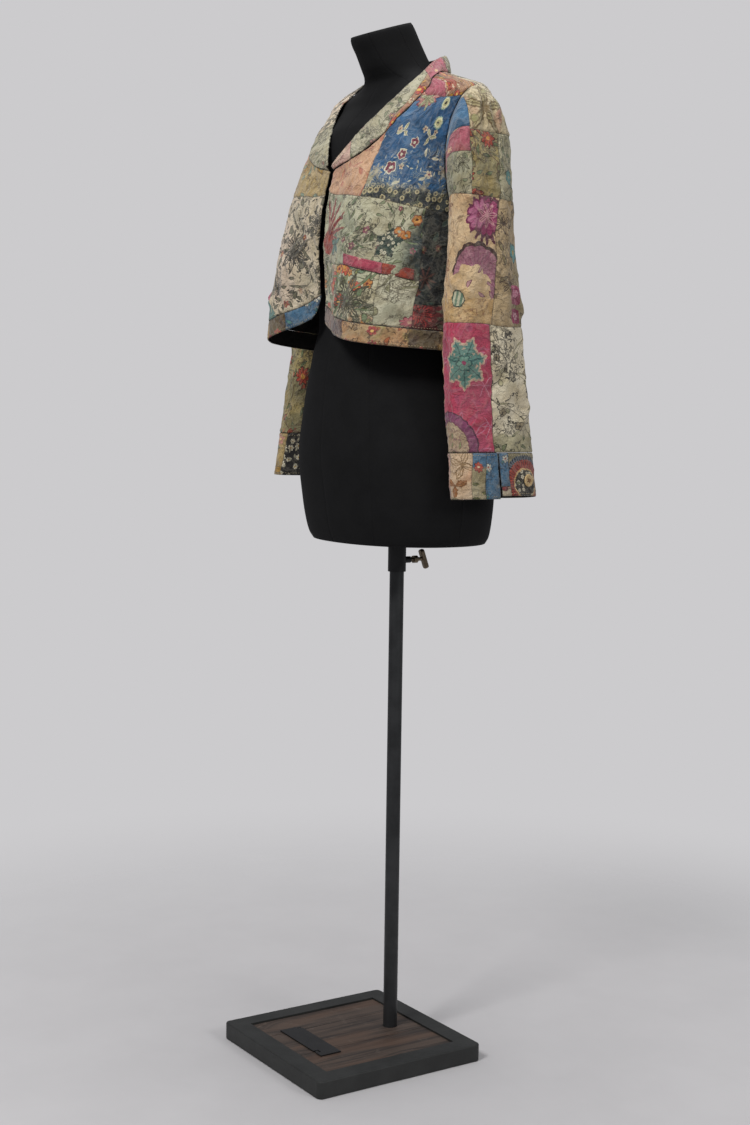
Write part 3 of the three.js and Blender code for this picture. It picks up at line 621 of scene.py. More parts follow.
# ---------------------------------------------------------------- motifs, as node groups
def build_scatter(net, given):
    """Cells strewn over the cloth: the place in the cell, and two chances that are the cell's own."""
    place = net.vector("ADD", net.scaled(given["Vector"], given["Scale"]), given["Seed"])
    cells = net.node("ShaderNodeTexVoronoi", {"Vector": place, "Scale": 1.0, "Randomness": 0.72},
                     voronoi_dimensions="2D")
    bent = net.waver(place, 1.9, 2.0, 0.5, 0.16)
    local = net.vector("ADD", net.vector("SUBTRACT", place, net.out(cells, "Position")), bent)
    pick, other, _ = net.parts(net.out(cells, "Color"))
    return {"Local": local, "Pick": pick, "Other": other}


def polar(net, local, spin=0.0):
    x, y, _ = net.parts(local)
    return net.length(x, y), net.math("ARCTAN2", y, x) + spin


def build_petals(net, given):
    size, depth = given["Size"], given["Depth"]
    r, turn = polar(net, given["Local"], given["Spin"])
    lobe = abs(net.math("COSINE", turn * given["Count"] * 0.5))
    inside = ((1.0 - depth + lobe * depth) * size - r) / size
    fill = net.ramp(inside, -0.03, 0.05)
    share = r / size
    return {"Fill": fill, "Line": net.ramp(abs(inside), 0.11, 0.05),
            "Rays": net.ramp(lobe, 0.34, 0.16) * fill, "Eye": net.ramp(share, 0.3, 0.22),
            "Ring": net.ramp(abs(share - 0.42), 0.12, 0.06)}


def build_leaves(net, given):
    size = given["Size"]
    r, turn = polar(net, given["Local"], given["Spin"])
    sector = 2 * math.pi / given["Count"]
    folded = turn % sector - sector * 0.5
    along = r * net.math("COSINE", folded) / size
    across = abs(r * net.math("SINE", folded) / size)
    bulge = net.math("SINE", net.math("MINIMUM", along, 1.0) * math.pi)
    teeth = net.math("SINE", along * 34.0) * given["Teeth"]
    inside = (bulge + teeth * bulge) * given["Width"] - across
    near = net.ramp(along, 1.02, 0.98)
    return {"Fill": net.ramp(inside, -0.015, 0.02) * near,
            "Vein": net.ramp(across, 0.035, 0.015) * net.ramp(along, 0.95, 0.85),
            "Line": net.ramp(abs(inside), 0.05, 0.02) * near}


def build_vines(net, given):
    """Waving stems in rows, with leaves on both sides in turn."""
    pitch, leaf = given["Pitch"], given["Leaf"]
    x, y, _ = net.parts(given["Vector"])
    along = x / given["Length"] + net.math("FLOOR", y / pitch) * 0.37
    away = y % pitch - pitch * 0.5 - net.math("SINE", along * (2 * math.pi)) * given["Swing"]
    step = along * 6.0
    side = net.math("SIGN", step % 2.0 - 1.0)
    nearby = (net.math("FRACT", step) - 0.5) * (given["Length"] / 6.0)
    lift = away - side * leaf
    long = lift / leaf
    wide = (nearby - lift * side * 0.6) / (leaf * 0.42)
    size = long * long + wide * wide
    return {"Line": net.ramp(abs(away), given["Width"], given["Width"] * 0.5),
            "Leaf": net.ramp(size, 1.0, 0.8), "Edge": net.ramp(abs(size - 0.95), 0.35, 0.15)}


def build_leaflets(net, given):
    spots = net.group(SCATTER, Vector=given["Vector"], Scale=given["Scale"], Seed=given["Seed"])
    spin = spots["Other"] * (2 * math.pi)
    x, y, _ = net.parts(spots["Local"])
    c, s = net.math("COSINE", spin), net.math("SINE", spin)
    along = (x * c + y * s) / given["Size"]
    bow = (1.0 - along * along) * given["Slim"]
    across = (y * c - x * s) / given["Size"] - bow * 0.5
    inside = bow - abs(across)
    fill = net.ramp(inside, -0.02, 0.05)
    return {"Fill": fill, "Line": net.ramp(abs(inside), 0.1, 0.04) * net.ramp(abs(along), 1.15, 1.0),
            "Vein": net.ramp(abs(across), 0.05, 0.02) * fill, "Pick": spots["Pick"]}


def build_ink(net, given):
    """Drawn outlines of uneven width, with finer ones and strokes where they crowd."""
    place, scale = given["Vector"], given["Scale"]
    curly = net.vector("ADD", place, net.waver(place, scale * 0.9, 4.0, 0.62, given["Bend"] * 70.0 / scale))
    drawn = net.scaled(curly, scale)

    def edges(at):
        cells = net.node("ShaderNodeTexVoronoi", {"Vector": at, "Scale": 1.0}, voronoi_dimensions="2D",
                         feature="DISTANCE_TO_EDGE")
        return net.out(cells, "Distance")

    thick = net.noise(place, scale * 1.3, 3.0, 0.6, 0.0, "2D")
    width = net.ramp(thick, 0.4, 0.66) * given["Width"]
    line = net.ramp(edges(drawn) - width, 0.028, 0.004) * net.ramp(thick, 0.38, 0.5)
    finer = net.scaled(net.vector("ADD", curly, (0.3, 0.7, 0)), scale * 2.6)
    crowd = net.noise(place, scale * 0.42, 2.0, 0.5, 0.0, "2D")
    fine = net.ramp(edges(finer), 0.13, 0.04) * net.ramp(crowd, 0.5, 0.6)
    x, y, _ = net.parts(drawn)
    strokes = net.ramp(net.math("SINE", (x + y * 0.6) * 34.0), 0.2, 0.9) * net.ramp(crowd, 0.56, 0.66)
    return {"Line": net.math("MAXIMUM", line, net.math("MAXIMUM", fine * 0.85, strokes * 0.5))}


SCATTER = new_group("scatter", "Vector Scale Seed", "Local Pick Other", build_scatter)
PETALS = new_group("petals", "Local Size Count Depth Spin", "Fill Line Rays Eye Ring", build_petals)
LEAVES = new_group("leaves", "Local Size Count Width Spin Teeth", "Fill Vein Line", build_leaves)
LEAFLETS = new_group("leaflets", "Vector Scale Seed Size Slim", "Fill Line Vein Pick", build_leaflets)
VINES = new_group("vines", "Vector Length Swing Pitch Width Leaf", "Line Leaf Edge", build_vines)
INK = new_group("ink", "Vector Scale Width Bend", "Line", build_ink)


# ---------------------------------------------------------------- layers of a print
def with_settings(paint):
    """Makes a layer or a mask from its settings alone: paint also takes the net, the place on the patch in
    metres and, for a layer, the colour below it."""

    def maker(*settings, **named):
        return lambda *given: paint(*given, *settings, **named)

    return maker


def lay(net, colour, share, tint, here=None):
    """Puts a tint over the colour where share is 1, and only here; no tint leaves the colour alone."""
    if tint is None:
        return colour
    return net.mix(share if here is None else share * here, colour, srgb(tint))


def lay_petals(net, colour, petals, outer, inner, eye, ring, line, here=None):
    tint = net.mix(petals["Rays"], srgb(outer), srgb(inner))
    tint = lay(net, tint, petals["Ring"], ring)
    tint = lay(net, tint, petals["Eye"], eye)
    colour = net.mix(petals["Fill"] if here is None else petals["Fill"] * here, colour, tint)
    return lay(net, colour, petals["Line"], line, here)


def lay_leaves(net, colour, leaves, fill, vein, line, here=None):
    for key, tint in (("Fill", fill), ("Vein", vein), ("Line", line)):
        colour = lay(net, colour, leaves[key], tint, here)
    return colour


def chosen(net, spots, density):
    return net.ramp(spots["Pick"], density + 0.01, density - 0.01)


@with_settings
def blossoms(net, place, colour, scale, size, count, outer, inner, eye, depth=0.35, density=0.6, seed=0.0,
             line=None, ring=None):
    """Small flowers strewn over the cloth; size is a share of their spacing."""
    spots = net.group(SCATTER, Vector=place, Scale=scale, Seed=(seed, seed * 1.7, 0))
    petals = net.group(PETALS, Local=spots["Local"], Size=size * (0.7 + spots["Other"] * 0.5),
                       Count=float(count), Depth=depth, Spin=spots["Other"] * 6.28)
    return lay_petals(net, colour, petals, outer, inner, eye, ring, line, chosen(net, spots, density))


@with_settings
def sprigs(net, place, colour, scale, size, count, fill, vein, width=0.16, density=0.5, seed=0.0, line=None,
           teeth=0.0):
    """Rosettes of leaves strewn over the cloth."""
    spots = net.group(SCATTER, Vector=place, Scale=scale, Seed=(seed * 2.3, seed, 0))
    leaves = net.group(LEAVES, Local=spots["Local"], Size=size, Count=float(count), Width=width,
                       Spin=spots["Other"] * 6.28, Teeth=teeth)
    return lay_leaves(net, colour, leaves, fill, vein, line, chosen(net, spots, density))


@with_settings
def leaflets(net, place, colour, scale, size, slim, fill, line, density=0.6, seed=0.0, vein=None):
    """Single curled leaves strewn over the cloth, filled or only outlined."""
    leaf = net.group(LEAFLETS, Vector=place, Scale=scale, Seed=(seed * 1.3, seed, 0), Size=size, Slim=slim)
    return lay_leaves(net, colour, leaf, fill, vein, line, chosen(net, leaf, density))


@with_settings
def vines(net, place, colour, length, swing, pitch, stem, leaf, width=0.0006, leaf_size=0.005, turn=0.0,
          line=None):
    turned = net.turned(place, turn)
    bent = net.vector("ADD", turned, net.waver(turned, 22.0, 1.0, 0.5, 0.02))
    vine = net.group(VINES, Vector=bent, Length=length, Swing=swing, Pitch=pitch, Width=width, Leaf=leaf_size)
    colour = lay(net, colour, vine["Leaf"], leaf)
    colour = lay(net, colour, vine["Edge"] * 0.8, line or stem)
    return lay(net, colour, vine["Line"], stem)


@with_settings
def ink(net, place, colour, scale, tint, width=0.03, bend=0.03, amount=0.85):
    """Sketchy drawn outlines."""
    line = net.group(INK, Vector=place, Scale=scale, Width=width, Bend=bend)["Line"]
    return lay(net, colour, line * amount, tint)


@with_settings
def patches_of(net, place, colour, scale, tint, low=0.52, high=0.6, amount=0.8, seed=0.0):
    """Soft-edged areas of another dye."""
    moved = net.vector("ADD", place, (seed, seed * 0.7, seed))
    return lay(net, colour, net.ramp(net.noise(moved, scale, 2.0, 0.55, 0.6), low, high) * amount, tint)


def local_at(net, place, x, y, turn=0.0, squash=1.0):
    """Place seen from a motif's own middle, in millimetres."""
    bent = net.vector("ADD", place, net.waver(place, 130.0, 3.0, 0.55, 0.0055))
    moved = net.scaled(net.vector("SUBTRACT", bent, (x * MM, y * MM, 0)), 1 / MM)
    return net.vector("MULTIPLY", net.turned(moved, turn), (1, 1 / squash, 1))


@with_settings
def one_flower(net, place, colour, x, y, size, count, outer, inner, eye, depth=0.3, turn=0.0, line=None,
               ring=None, squash=1.0):
    local = local_at(net, place, x, y, turn, squash)
    petals = net.group(PETALS, Local=local, Size=float(size), Count=float(count), Depth=depth, Spin=0.0)
    return lay_petals(net, colour, petals, outer, inner, eye, ring, line)


@with_settings
def one_rosette(net, place, colour, x, y, size, count, fill, vein, width=0.14, turn=0.0, teeth=0.0, line=None,
                squash=1.0, low=None, high=None):
    """A whole rosette of leaves, or the fan of it between two angles."""
    local = local_at(net, place, x, y, turn, squash)
    leaves = net.group(LEAVES, Local=local, Size=float(size), Count=float(count), Width=width, Spin=0.0,
                       Teeth=teeth)
    here = None
    if low is not None:
        _, angle = polar(net, local_at(net, place, x, y))
        low, high, soft = math.radians(low), math.radians(high), 0.02
        here = net.ramp(angle, low - soft, low + soft) * net.ramp(angle, high + soft, high - soft)
    return lay_leaves(net, colour, leaves, fill, vein, line, here)


@with_settings
def in_part(net, place, colour, mask_of, layers):
    """Layers that show only where a mask of the place says so."""
    under = colour
    for each in layers:
        colour = each(net, place, colour)
    return net.mix(mask_of(net, place), under, colour)


@with_settings
def under_line(net, place, height, slope=0.0, soft=3.0):
    """True below a wavering line across the patch, in millimetres."""
    x, y, _ = net.parts(net.scaled(place, 1 / MM))
    waver = net.noise(place, 40.0, 2.0) * 22.0
    return net.ramp(y - (x * slope + (height - 11.0) + waver), soft, -soft)


@with_settings
def in_disc(net, place, x, y, size, ragged=0.0, count=9.0, soft=0.5):
    """True within a disc, whose rim may be scalloped."""
    r, angle = polar(net, local_at(net, place, x, y))
    wave = abs(net.math("SINE", angle * count)) * ragged
    return net.ramp(r - (wave + float(size)), soft, -soft)


@with_settings
def in_box(net, place, x, y, half_width, half_height, corner):
    """True within a box with rounded corners."""
    px, py, _ = net.parts(local_at(net, place, x, y))
    dx = net.math("MAXIMUM", abs(px) - (half_width - corner), 0.0)
    dy = net.math("MAXIMUM", abs(py) - (half_height - corner), 0.0)
    return net.ramp(net.length(dx, dy), corner + 0.4, corner - 0.4)


@with_settings
def below_row(net, place, height, soft=0.8):
    return net.ramp(net.parts(local_at(net, place, 0, height))[1], soft, -soft)


@with_settings
def one_ring(net, place, colour, x, y, size, width, tint):
    r, _ = polar(net, local_at(net, place, x, y))
    return lay(net, colour, net.ramp(abs(r - float(size)), width, width * 0.4), tint)


@with_settings
def plain(net, place, colour, tint, other, scale=30.0):
    cloud = net.ramp(net.noise(place, scale, 3.0, 0.6), 0.35, 0.65)
    return net.mix(cloud, srgb(tint), srgb(other))


@with_settings
def ribs(net, place, colour, x, y, count, tint, share=0.2, amount=0.85):
    """Spokes from a middle."""
    _, angle = polar(net, local_at(net, place, x, y))
    wave = net.math("SINE", angle * float(count))
    return lay(net, colour, net.ramp(wave, share, share + 0.5) * amount, tint)


@with_settings
def bands(net, place, colour, step, tints, turn=0.0, share=0.5):
    """Stripes across the patch, one tint after another."""
    across = net.parts(net.turned(place, turn))[0] / (step * MM)
    wide = share / len(tints)
    for i, tint in enumerate(tints):
        phase = net.math("FRACT", across + i / len(tints))
        colour = lay(net, colour, net.ramp(phase, wide + 0.03, wide) * 0.9, tint)
    return colour


# ---------------------------------------------------------------- the cloth itself
AGE_STAIN = "8f7a5c"
SEAM_SHADE = "2a231d"
THREAD_SHADE = "3a3128"
# the next two tints are painted light: a painted highlight on crumple ridges and painted shade in crumple
# folds
PAINTED_RIDGE_HIGHLIGHT = "e2d8c2"
PAINTED_FOLD_SHADE = "8c7f6a"


def cloth_material(name, base, second, layers):
    """Printed cotton: a mottled ground, the print's layers, age stains, a dark seam line, a weave, and a
    painted highlight on its crumple ridges with painted shade in its folds.
    """
    material, net, shader = new_material(name)
    place = net.out(net.node("ShaderNodeUVMap", uv_map="print"))
    seam_away = net.parts(net.out(net.node("ShaderNodeUVMap", uv_map="edge")))[0]
    colour = net.mix(net.ramp(net.noise(place, 34.0, 4.0, 0.6), 0.35, 0.68), srgb(base), srgb(second))
    for layer in layers:
        colour = layer(net, place, colour)
    worn = net.ramp(net.noise(place, 160.0, 3.0, 0.65), 0.55, 0.75)
    colour = lay(net, colour, worn * 0.28, second)
    aged = net.ramp(net.noise(place, 13.0, 3.0, 0.6), 0.35, 0.75)
    colour = net.mix(aged * 0.35, colour, srgb(AGE_STAIN), "MULTIPLY")
    colour = lay(net, colour, net.ramp(seam_away, 0.085, 0.025) * 0.62, SEAM_SHADE)

    wave = {"Vector": net.scaled(place, 1500.0), "Scale": 0.32, "Distortion": 1.2, "Detail": 1.0}
    across, down = (net.out(net.node("ShaderNodeTexWave", wave, bands_direction=way), "Fac") for way in "XY")
    weave = across * 0.5 + down * 0.5
    colour = lay(net, colour, net.ramp(weave, 0.5, 0.15) * 0.16, THREAD_SHADE)
    specks = net.ramp(net.noise(place, 620.0, 2.0, 0.6), 0.6, 0.72)
    colour = lay(net, colour, specks * 0.35, THREAD_SHADE)

    folded = abs(net.noise(place, 38.0, 2.0, 0.5, 0.8) - 0.5)
    small = abs(net.noise(place, 125.0, 2.0, 0.55, 0.3) - 0.5)
    crumple = net.ramp(folded, 0.16, 0.0) + net.ramp(small, 0.14, 0.0) * 0.4
    # painted highlight on the ridges and painted shade in the folds, on the same heights that the bump shades
    colour = lay(net, colour, net.ramp(crumple, 0.8, 1.3) * 0.07, PAINTED_RIDGE_HIGHLIGHT)
    colour = net.mix(net.ramp(crumple, 0.3, 0.0) * 0.22, colour, srgb(PAINTED_FOLD_SHADE), "MULTIPLY")
    relief = net.bump(0.7, 0.002, crumple, Normal=net.bump(0.3, 0.0004, weave))
    set_shader(net, shader, {"Base Color": colour, "Normal": relief, "Roughness": 0.88, "Sheen Weight": 0.25,
                             "Sheen Roughness": 0.6, "Specular IOR Level": 0.25})
    return material


# ---------------------------------------------------------------- printed cottons
PRINTS = {
    "sage_sketch": ("a9a68b", "98916f", [
        patches_of(9.0, "b3ab8d", 0.5, 0.6, 0.7),
        leaflets(62.0, 0.4, 0.34, "7d8562", "4d4a36", 0.4, 1.0),
        vines(0.11, 0.018, 0.05, "4f4d38", "7f8663", 0.0007, 0.007, 24),
        sprigs(30.0, 0.42, 6, None, "54503c", 0.15, 0.5, 3.0, line="45432f"),
        blossoms(32.0, 0.26, 5, "b4574b", "7d2c2a", "d9b567", 0.35, 0.25, 5.0, line="5a3a2c"),
        ink(34.0, "3d3b2c", 0.03, 0.03, 0.85),
    ]),
    "sage_garden": ("c4bf9f", "aca37e", [
        patches_of(12.0, "5f6350", 0.56, 0.66, 0.55, 7.0),
        patches_of(8.0, "8f9a7c", 0.54, 0.62, 0.55, 2.0),
        leaflets(55.0, 0.42, 0.34, "6f7d58", "45452f", 0.5, 2.0),
        vines(0.13, 0.02, 0.05, "3f4230", "6f7f5b", 0.001, 0.0075, -62, "3f4230"),
        blossoms(29.0, 0.3, 6, "b85546", "842b28", "e0bd6e", 0.4, 0.35, 1.0, line="6b3126"),
        leaflets(78.0, 0.4, 0.3, None, "3c3a2a", 0.5, 5.0),
        ink(32.0, "2f2d20", 0.045, 0.03, 0.95),
    ]),
    "sage_high": ("c2c0a3", "ada686", [
        patches_of(8.0, "97a085", 0.54, 0.62, 0.55, 2.0),
        in_part(
            in_disc(206, -50, 52, 8.0, 5.0, 16.0),
            [plain("2f3f40", "24302f"), leaflets(60.0, 0.44, 0.34, "54705f", "14181c", 0.5, 5.0)],
        ),
        leaflets(60.0, 0.4, 0.32, "7c8663", "4b4a36", 0.4, 2.0),
        vines(0.13, 0.02, 0.06, "565a40", "6f7f5b", 0.0007, 0.007, -52),
        leaflets(80.0, 0.4, 0.3, None, "3c3a2a", 0.45, 5.0),
        blossoms(44.0, 0.24, 5, "8d4f5c", "6a2c3a", "c9b08a", 0.35, 0.25, 5.0),
        ink(32.0, "3a3829", 0.03, 0.03, 0.85),
        in_part(
            in_disc(-6, -30, 17, 1.5, 8.0),
            [plain("a23c30", "80302c", 90.0), ribs(-6, -30, 26, "c0694c", 0.3, 0.5)],
        ),
        one_rosette(22, -34, 19, 5, "5f8a80", "2f5a56", 0.2, 160, 0.2, "3c4f46"),
        one_rosette(-8, -18, 54, 15, "9a2620", "6e1c1c", 0.062, 6, 0.0, None, 1.1, -16.0, 102.0),
        one_rosette(126, -38, 20, 5, "38493f", "1d2a26", 0.3, 30, 0.25, "1d2a26", 1.2),
        in_part(
            in_disc(126, -38, 17), [blossoms(130.0, 0.32, 8, "d0c9ae", "38493f", "38493f", 0.15, 0.9, 2.0)],
        ),
        one_flower(141, -22, 8, 2, "c07a35", "8a4a22", "a9a68b", 0.5, 40, "7a3a1c"),
        one_flower(151, -27, 7, 2, "c07a35", "8a4a22", "a9a68b", 0.5, -30, "7a3a1c"),
        one_flower(166, -4, 8, 6, "c07a35", "c07a35", "5a3018", 0.12, 0, "7a3a1c", "d09a50"),
    ]),
    "sage_low": ("cfcaac", "beb592", [
        patches_of(9.0, "9fa888", 0.54, 0.62, 0.5, 6.0),
        patches_of(14.0, "c98a62", 0.58, 0.66, 0.6, 9.0),
        leaflets(50.0, 0.42, 0.34, "8d8f55", "5a5a38", 0.45, 6.0),
        leaflets(64.0, 0.42, 0.34, "6f8468", "45452f", 0.4, 8.0),
        vines(0.12, 0.018, 0.045, "565a40", "76835f", 0.0008, 0.007, 38),
        ink(30.0, "3a3829", 0.032, 0.03, 0.85),
        one_flower(0, 0, 13, 7, "c2583c", "8c3428", "d9a04c", 0.35, 10, "5c2a20", "cf8a50"),
        one_flower(40, 28, 15, 9, "c2583c", "8c3428", "d9a04c", 0.35, 40, "5c2a20", "cf8a50", 0.6),
        one_flower(6, -38, 14, 7, "b9683c", "96502c", "6b2f22", 0.2, 70, "5c3a24", "d9a060"),
        one_rosette(22, 8, 18, 6, "8f9a5c", "5a6a3c", 0.2, 20, 0.1, "4c5434"),
        blossoms(30.0, 0.36, 6, "c8573f", "93332c", "e0b45c", 0.4, 0.5, 3.0, line="6b3126"),
        blossoms(38.0, 0.3, 5, "c98a4a", "a0503a", "7a2c26", 0.4, 0.4, 9.0, line="6b4426"),
        one_flower(14, 16, 9, 6, "c8573f", "93332c", "e0b45c", 0.35, 10, "6b3126"),
        one_rosette(52, -22, 42, 9, None, "4a4836", 0.1, 30, 0.2, "4a4836"),
        vines(0.09, 0.02, 0.05, "4a4836", "6f7f5b", 0.0006, 0.009, 80),
    ]),
    "sage_teal": ("bfb895", "a39c76", [
        patches_of(12.0, "5f5e48", 0.56, 0.66, 0.55, 7.0),
        patches_of(9.0, "aba588", 0.5, 0.62, 0.6, 3.0),
        leaflets(58.0, 0.42, 0.34, "75805c", "45432f", 0.5, 3.0),
        vines(0.11, 0.018, 0.055, "5b5a44", "7f8663", 0.0007, 0.007, -20),
        ink(30.0, "3f3c2c", 0.028, 0.03, 0.8),
        one_flower(0, 0, 11, 7, "4f8580", "7fa79a", "9f9b7a", 0.15, 10, "2c4f4e", "4f8580"),
    ]),
    "sage_plain": ("cbc7ac", "b0a98c", [
        patches_of(8.0, "8d9078", 0.54, 0.62, 0.55, 3.0),
        vines(0.16, 0.02, 0.075, "5c563f", "8d8a68", 0.0006, 0.008, 12),
        vines(0.1, 0.02, 0.06, "5c563f", "8d8a68", 0.0006, 0.008, 62),
        leaflets(48.0, 0.42, 0.22, None, "57513d", 0.5, 2.0),
        ink(24.0, "4c4634", 0.02, 0.035, 0.8),
        one_flower(18, -27, 14, 9, "b86a70", "8f3d4c", "c9a08a", 0.3, 0, "7a3a44", None, 0.6),
    ]),
    "blue_flowers": ("2b5c86", "24496c", [
        patches_of(14.0, "46769c", 0.5, 0.62, 0.6),
        leaflets(46.0, 0.3, 0.3, "c9c3a4", "d8d2b8", 0.2, 4.0),
        blossoms(40.0, 0.24, 5, "c9b99a", "8d4a55", "6c2938", 0.45, 0.2, 6.0),
        one_flower(-2, 152, 26, 11, "c08a80", "8f4a50", "d9c49a", 0.35, 0, "7a3a44", None, 0.55),
        one_rosette(-4, 150, 24, 6, "b9b58f", "6a6a4c", 0.16, 40, 0.1, "7c7a5a", 0.7),
        one_flower(48, 142, 9, 12, "d9d2a8", "cfc890", "3c3a30", 0.1, 10, "8fae9a", "9a9a5c"),
        one_flower(52, 113, 9, 12, "d9d2a8", "cfc890", "3c3a30", 0.1, 10, "8fae9a", "9a9a5c"),
        one_rosette(42, 92, 14, 3, "b9b58f", "6a6a4c", 0.2, 60, 0.1, "d8d2b8"),
        one_rosette(-14, 102, 13, 3, "b9b58f", "6a6a4c", 0.2, 100, 0.1, "d8d2b8"),
        one_flower(15, 84, 8, 5, "7c3548", "5c2236", "d8d2b8", 0.3, 0, "d8d2b8"),
        one_flower(-3, 66, 8, 5, "7c3548", "5c2236", "d8d2b8", 0.3, 40, "d8d2b8"),
        one_flower(-16, 46, 10, 5, "7c3548", "5c2236", "d8d2b8", 0.3, 20, "d8d2b8"),
        one_rosette(-52, 32, 15, 11, "c9c3a4", "a9a37c", 0.1, 0, 0.0, None),
        in_part(under_line(66, 0.2, 14.0), [
            leaflets(120.0, 0.36, 0.26, "aeb09a", "c9c6ae", 0.35, 2.0),
            sprigs(34.0, 0.44, 7, None, "b3a98c", 0.12, 0.5, 2.0, line="b3a98c"),
            ink(58.0, "a9ad9a", 0.0, 0.02, 0.6),
        ]),
        in_part(under_line(18, -0.08, 8.0), [
            plain("3a3f3c", "2a2f33", 60.0),
            ink(70.0, "8a8a6a", 0.02, 0.02, 0.7),
            blossoms(96.0, 0.4, 10, "c0b58c", "8a7a55", "2a2f33", 0.15, 0.75, 2.0, ring="6a5a40"),
        ]),
    ]),
    "blue_plain": ("3d6c90", "315b7e", [
        patches_of(14.0, "4d7da0", 0.5, 0.62, 0.6, 4.0),
        leaflets(46.0, 0.34, 0.3, "c9c3a4", "d8d2b8", 0.3, 9.0),
        blossoms(36.0, 0.27, 5, "c9b99a", "8d4a55", "6c2938", 0.45, 0.3, 1.0),
    ]),
    "peach_lines": ("d6ac88", "c89b76", [
        patches_of(11.0, "cf9484", 0.5, 0.64, 0.5),
        leaflets(48.0, 0.42, 0.26, None, "a8685a", 0.5, 3.0),
        vines(0.09, 0.016, 0.045, "b5695a", "c17f65", 0.0007, 0.006, 58),
        ink(30.0, "8e5b48", 0.016, 0.03, 0.55),
    ]),
    "cream_ink": ("dbcdb2", "cbbb9a", [
        patches_of(9.0, "dcc6b2", 0.5, 0.62, 0.6, 5.0),
        patches_of(13.0, "a39c80", 0.55, 0.64, 0.5, 8.0),
        one_rosette(-6, 16, 30, 9, None, "3f3a30", 0.12, 20, 0.2, "3f3a30", 1.2),
        vines(0.1, 0.02, 0.055, "4a4538", "77735c", 0.0007, 0.009, 70, "37332a"),
        leaflets(70.0, 0.44, 0.34, "77735c", "2f2c24", 0.4, 2.0),
        sprigs(23.0, 0.47, 9, None, "37332a", 0.12, 0.5, 2.0, line="37332a", teeth=0.3),
        leaflets(110.0, 0.42, 0.3, "3f3b30", "2f2c24", 0.2, 7.0),
        blossoms(36.0, 0.22, 6, "9c5a4c", "6d332c", "c9a25a", 0.4, 0.18, 4.0),
        ink(36.0, "2f2b22", 0.04, 0.03, 0.9),
    ]),
    "cream_sketch": ("eee3c6", "dccdaa", [
        patches_of(10.0, "b3aa86", 0.58, 0.66, 0.5, 3.0),
        leaflets(52.0, 0.42, 0.3, None, "4a4538", 0.45, 2.0),
        vines(0.09, 0.02, 0.045, "3f3b30", "b5ae88", 0.0008, 0.006, 78, "3f3b30"),
        blossoms(36.0, 0.26, 4, "a89a7c", "6a5a44", "4a4538", 0.3, 0.25, 4.0, line="3f3b30"),
        ink(27.0, "2c2820", 0.045, 0.03, 0.95),
        in_part(under_line(-78), [
            plain("b5ad8a", "99906c"),
            leaflets(60.0, 0.44, 0.32, "6f7450", "3a3a28", 0.5, 2.0),
            ink(32.0, "33331f", 0.032, 0.03, 0.85),
        ]),
    ]),
    "cream_leaf": ("dccfac", "c6b58c", [
        patches_of(13.0, "a8604f", 0.57, 0.63, 0.75, 6.0),
        patches_of(9.0, "cdbb93", 0.5, 0.6, 0.6, 3.0),
        one_rosette(0, 0, 46, 5, "b8ab7f", "7a6c48", 0.13, 20, 0.1, "7a6642"),
        leaflets(44.0, 0.44, 0.3, "a39a6c", "6f6344", 0.4, 3.0),
        vines(0.12, 0.02, 0.06, "7d7050", "a09a6a", 0.0008, 0.009, 40, "7a6c48"),
        ink(26.0, "655638", 0.03, 0.03, 0.75),
    ]),
    "tan_arch": ("dbbe94", "cda97c", [
        patches_of(8.0, "dcc29c", 0.48, 0.62, 0.6, 1.0),
        sprigs(20.0, 0.4, 6, None, "7b4a35", 0.12, 0.25, 6.0, line="8a5a3c"),
        ink(24.0, "6d4433", 0.016, 0.03, 0.5),
        one_rosette(4, 0, 37, 19, "8c2f58", "5c1f38", 0.075, 4, 0.0, "5c1f38", 1.12),
        one_flower(4, 0, 27, 11, "a03a68", "7a2450", "8c2f58", 0.2, 10, "5c1f38", None, 1.1),
        one_flower(-11, 3, 20, 9, "b8688a", "a04470", "8c2f58", 0.3, 40, "7a2450", None, 1.3),
        one_rosette(4, 2, 19, 7, "8c2f58", "d9a8a0", 0.16, 20, 0.0, "d0909a"),
        in_part(in_disc(-14, -80, 41, 4.0, 5.5), [plain("4a2f2a", "3a2422")]),
        in_part(
            in_disc(-14, -84, 40, 2.0, 5.5),
            [plain("b07886", "96606f", 60.0), ribs(-14, -84, 22, "8a4a62", 0.5, 0.7)],
        ),
        in_part(
            in_disc(-24, -104, 31, 5.0, 4.0),
            [plain("dbbe94", "c9a878"), leaflets(60.0, 0.44, 0.3, "b58a8a", "6d3a44", 0.4, 2.0)],
        ),
        in_part(below_row(-118), [plain("d3b282", "c09a62"), ink(24.0, "7a4a35", 0.018, 0.03, 0.6)]),
        in_part(
            in_disc(31, -112, 13, 3.0, 5.0),
            [plain("b67c8c", "9a6074"), ink(60.0, "4a2f2a", 0.05, 0.02, 0.9)],
        ),
        in_part(
            in_disc(-46, -120, 11.5), [plain("c5c2a4", "c5c2a4"), bands(9.0, ["5f7f68", "c5c2a4"], 15, 1.0)],
        ),
        one_ring(-46, -120, 12, 1.2, "3c4436"),
    ]),
    "tan_grey": ("c2a981", "a38c66", [
        patches_of(9.0, "8f8664", 0.5, 0.62, 0.6, 5.0),
        leaflets(52.0, 0.44, 0.3, "8a7d58", "4c3a2b", 0.45, 2.0),
        sprigs(24.0, 0.42, 6, None, "4c3a2b", 0.14, 0.4, 2.0, line="4c3a2b"),
        ink(28.0, "4a3829", 0.024, 0.03, 0.7),
        in_part(in_box(0, 0, 11, 14, 4.0), [plain("a33a62", "8c2c50"), ribs(0, 0, 4, "c97a92", 0.3, 0.7)]),
        one_flower(0, 2, 7, 4, "cf8ea0", "b5627f", "c97a92", 0.1, 45, "6e2040"),
        in_part(in_box(0, -31, 11, 11, 3.0), [plain("a33a62", "8c2c50")]),
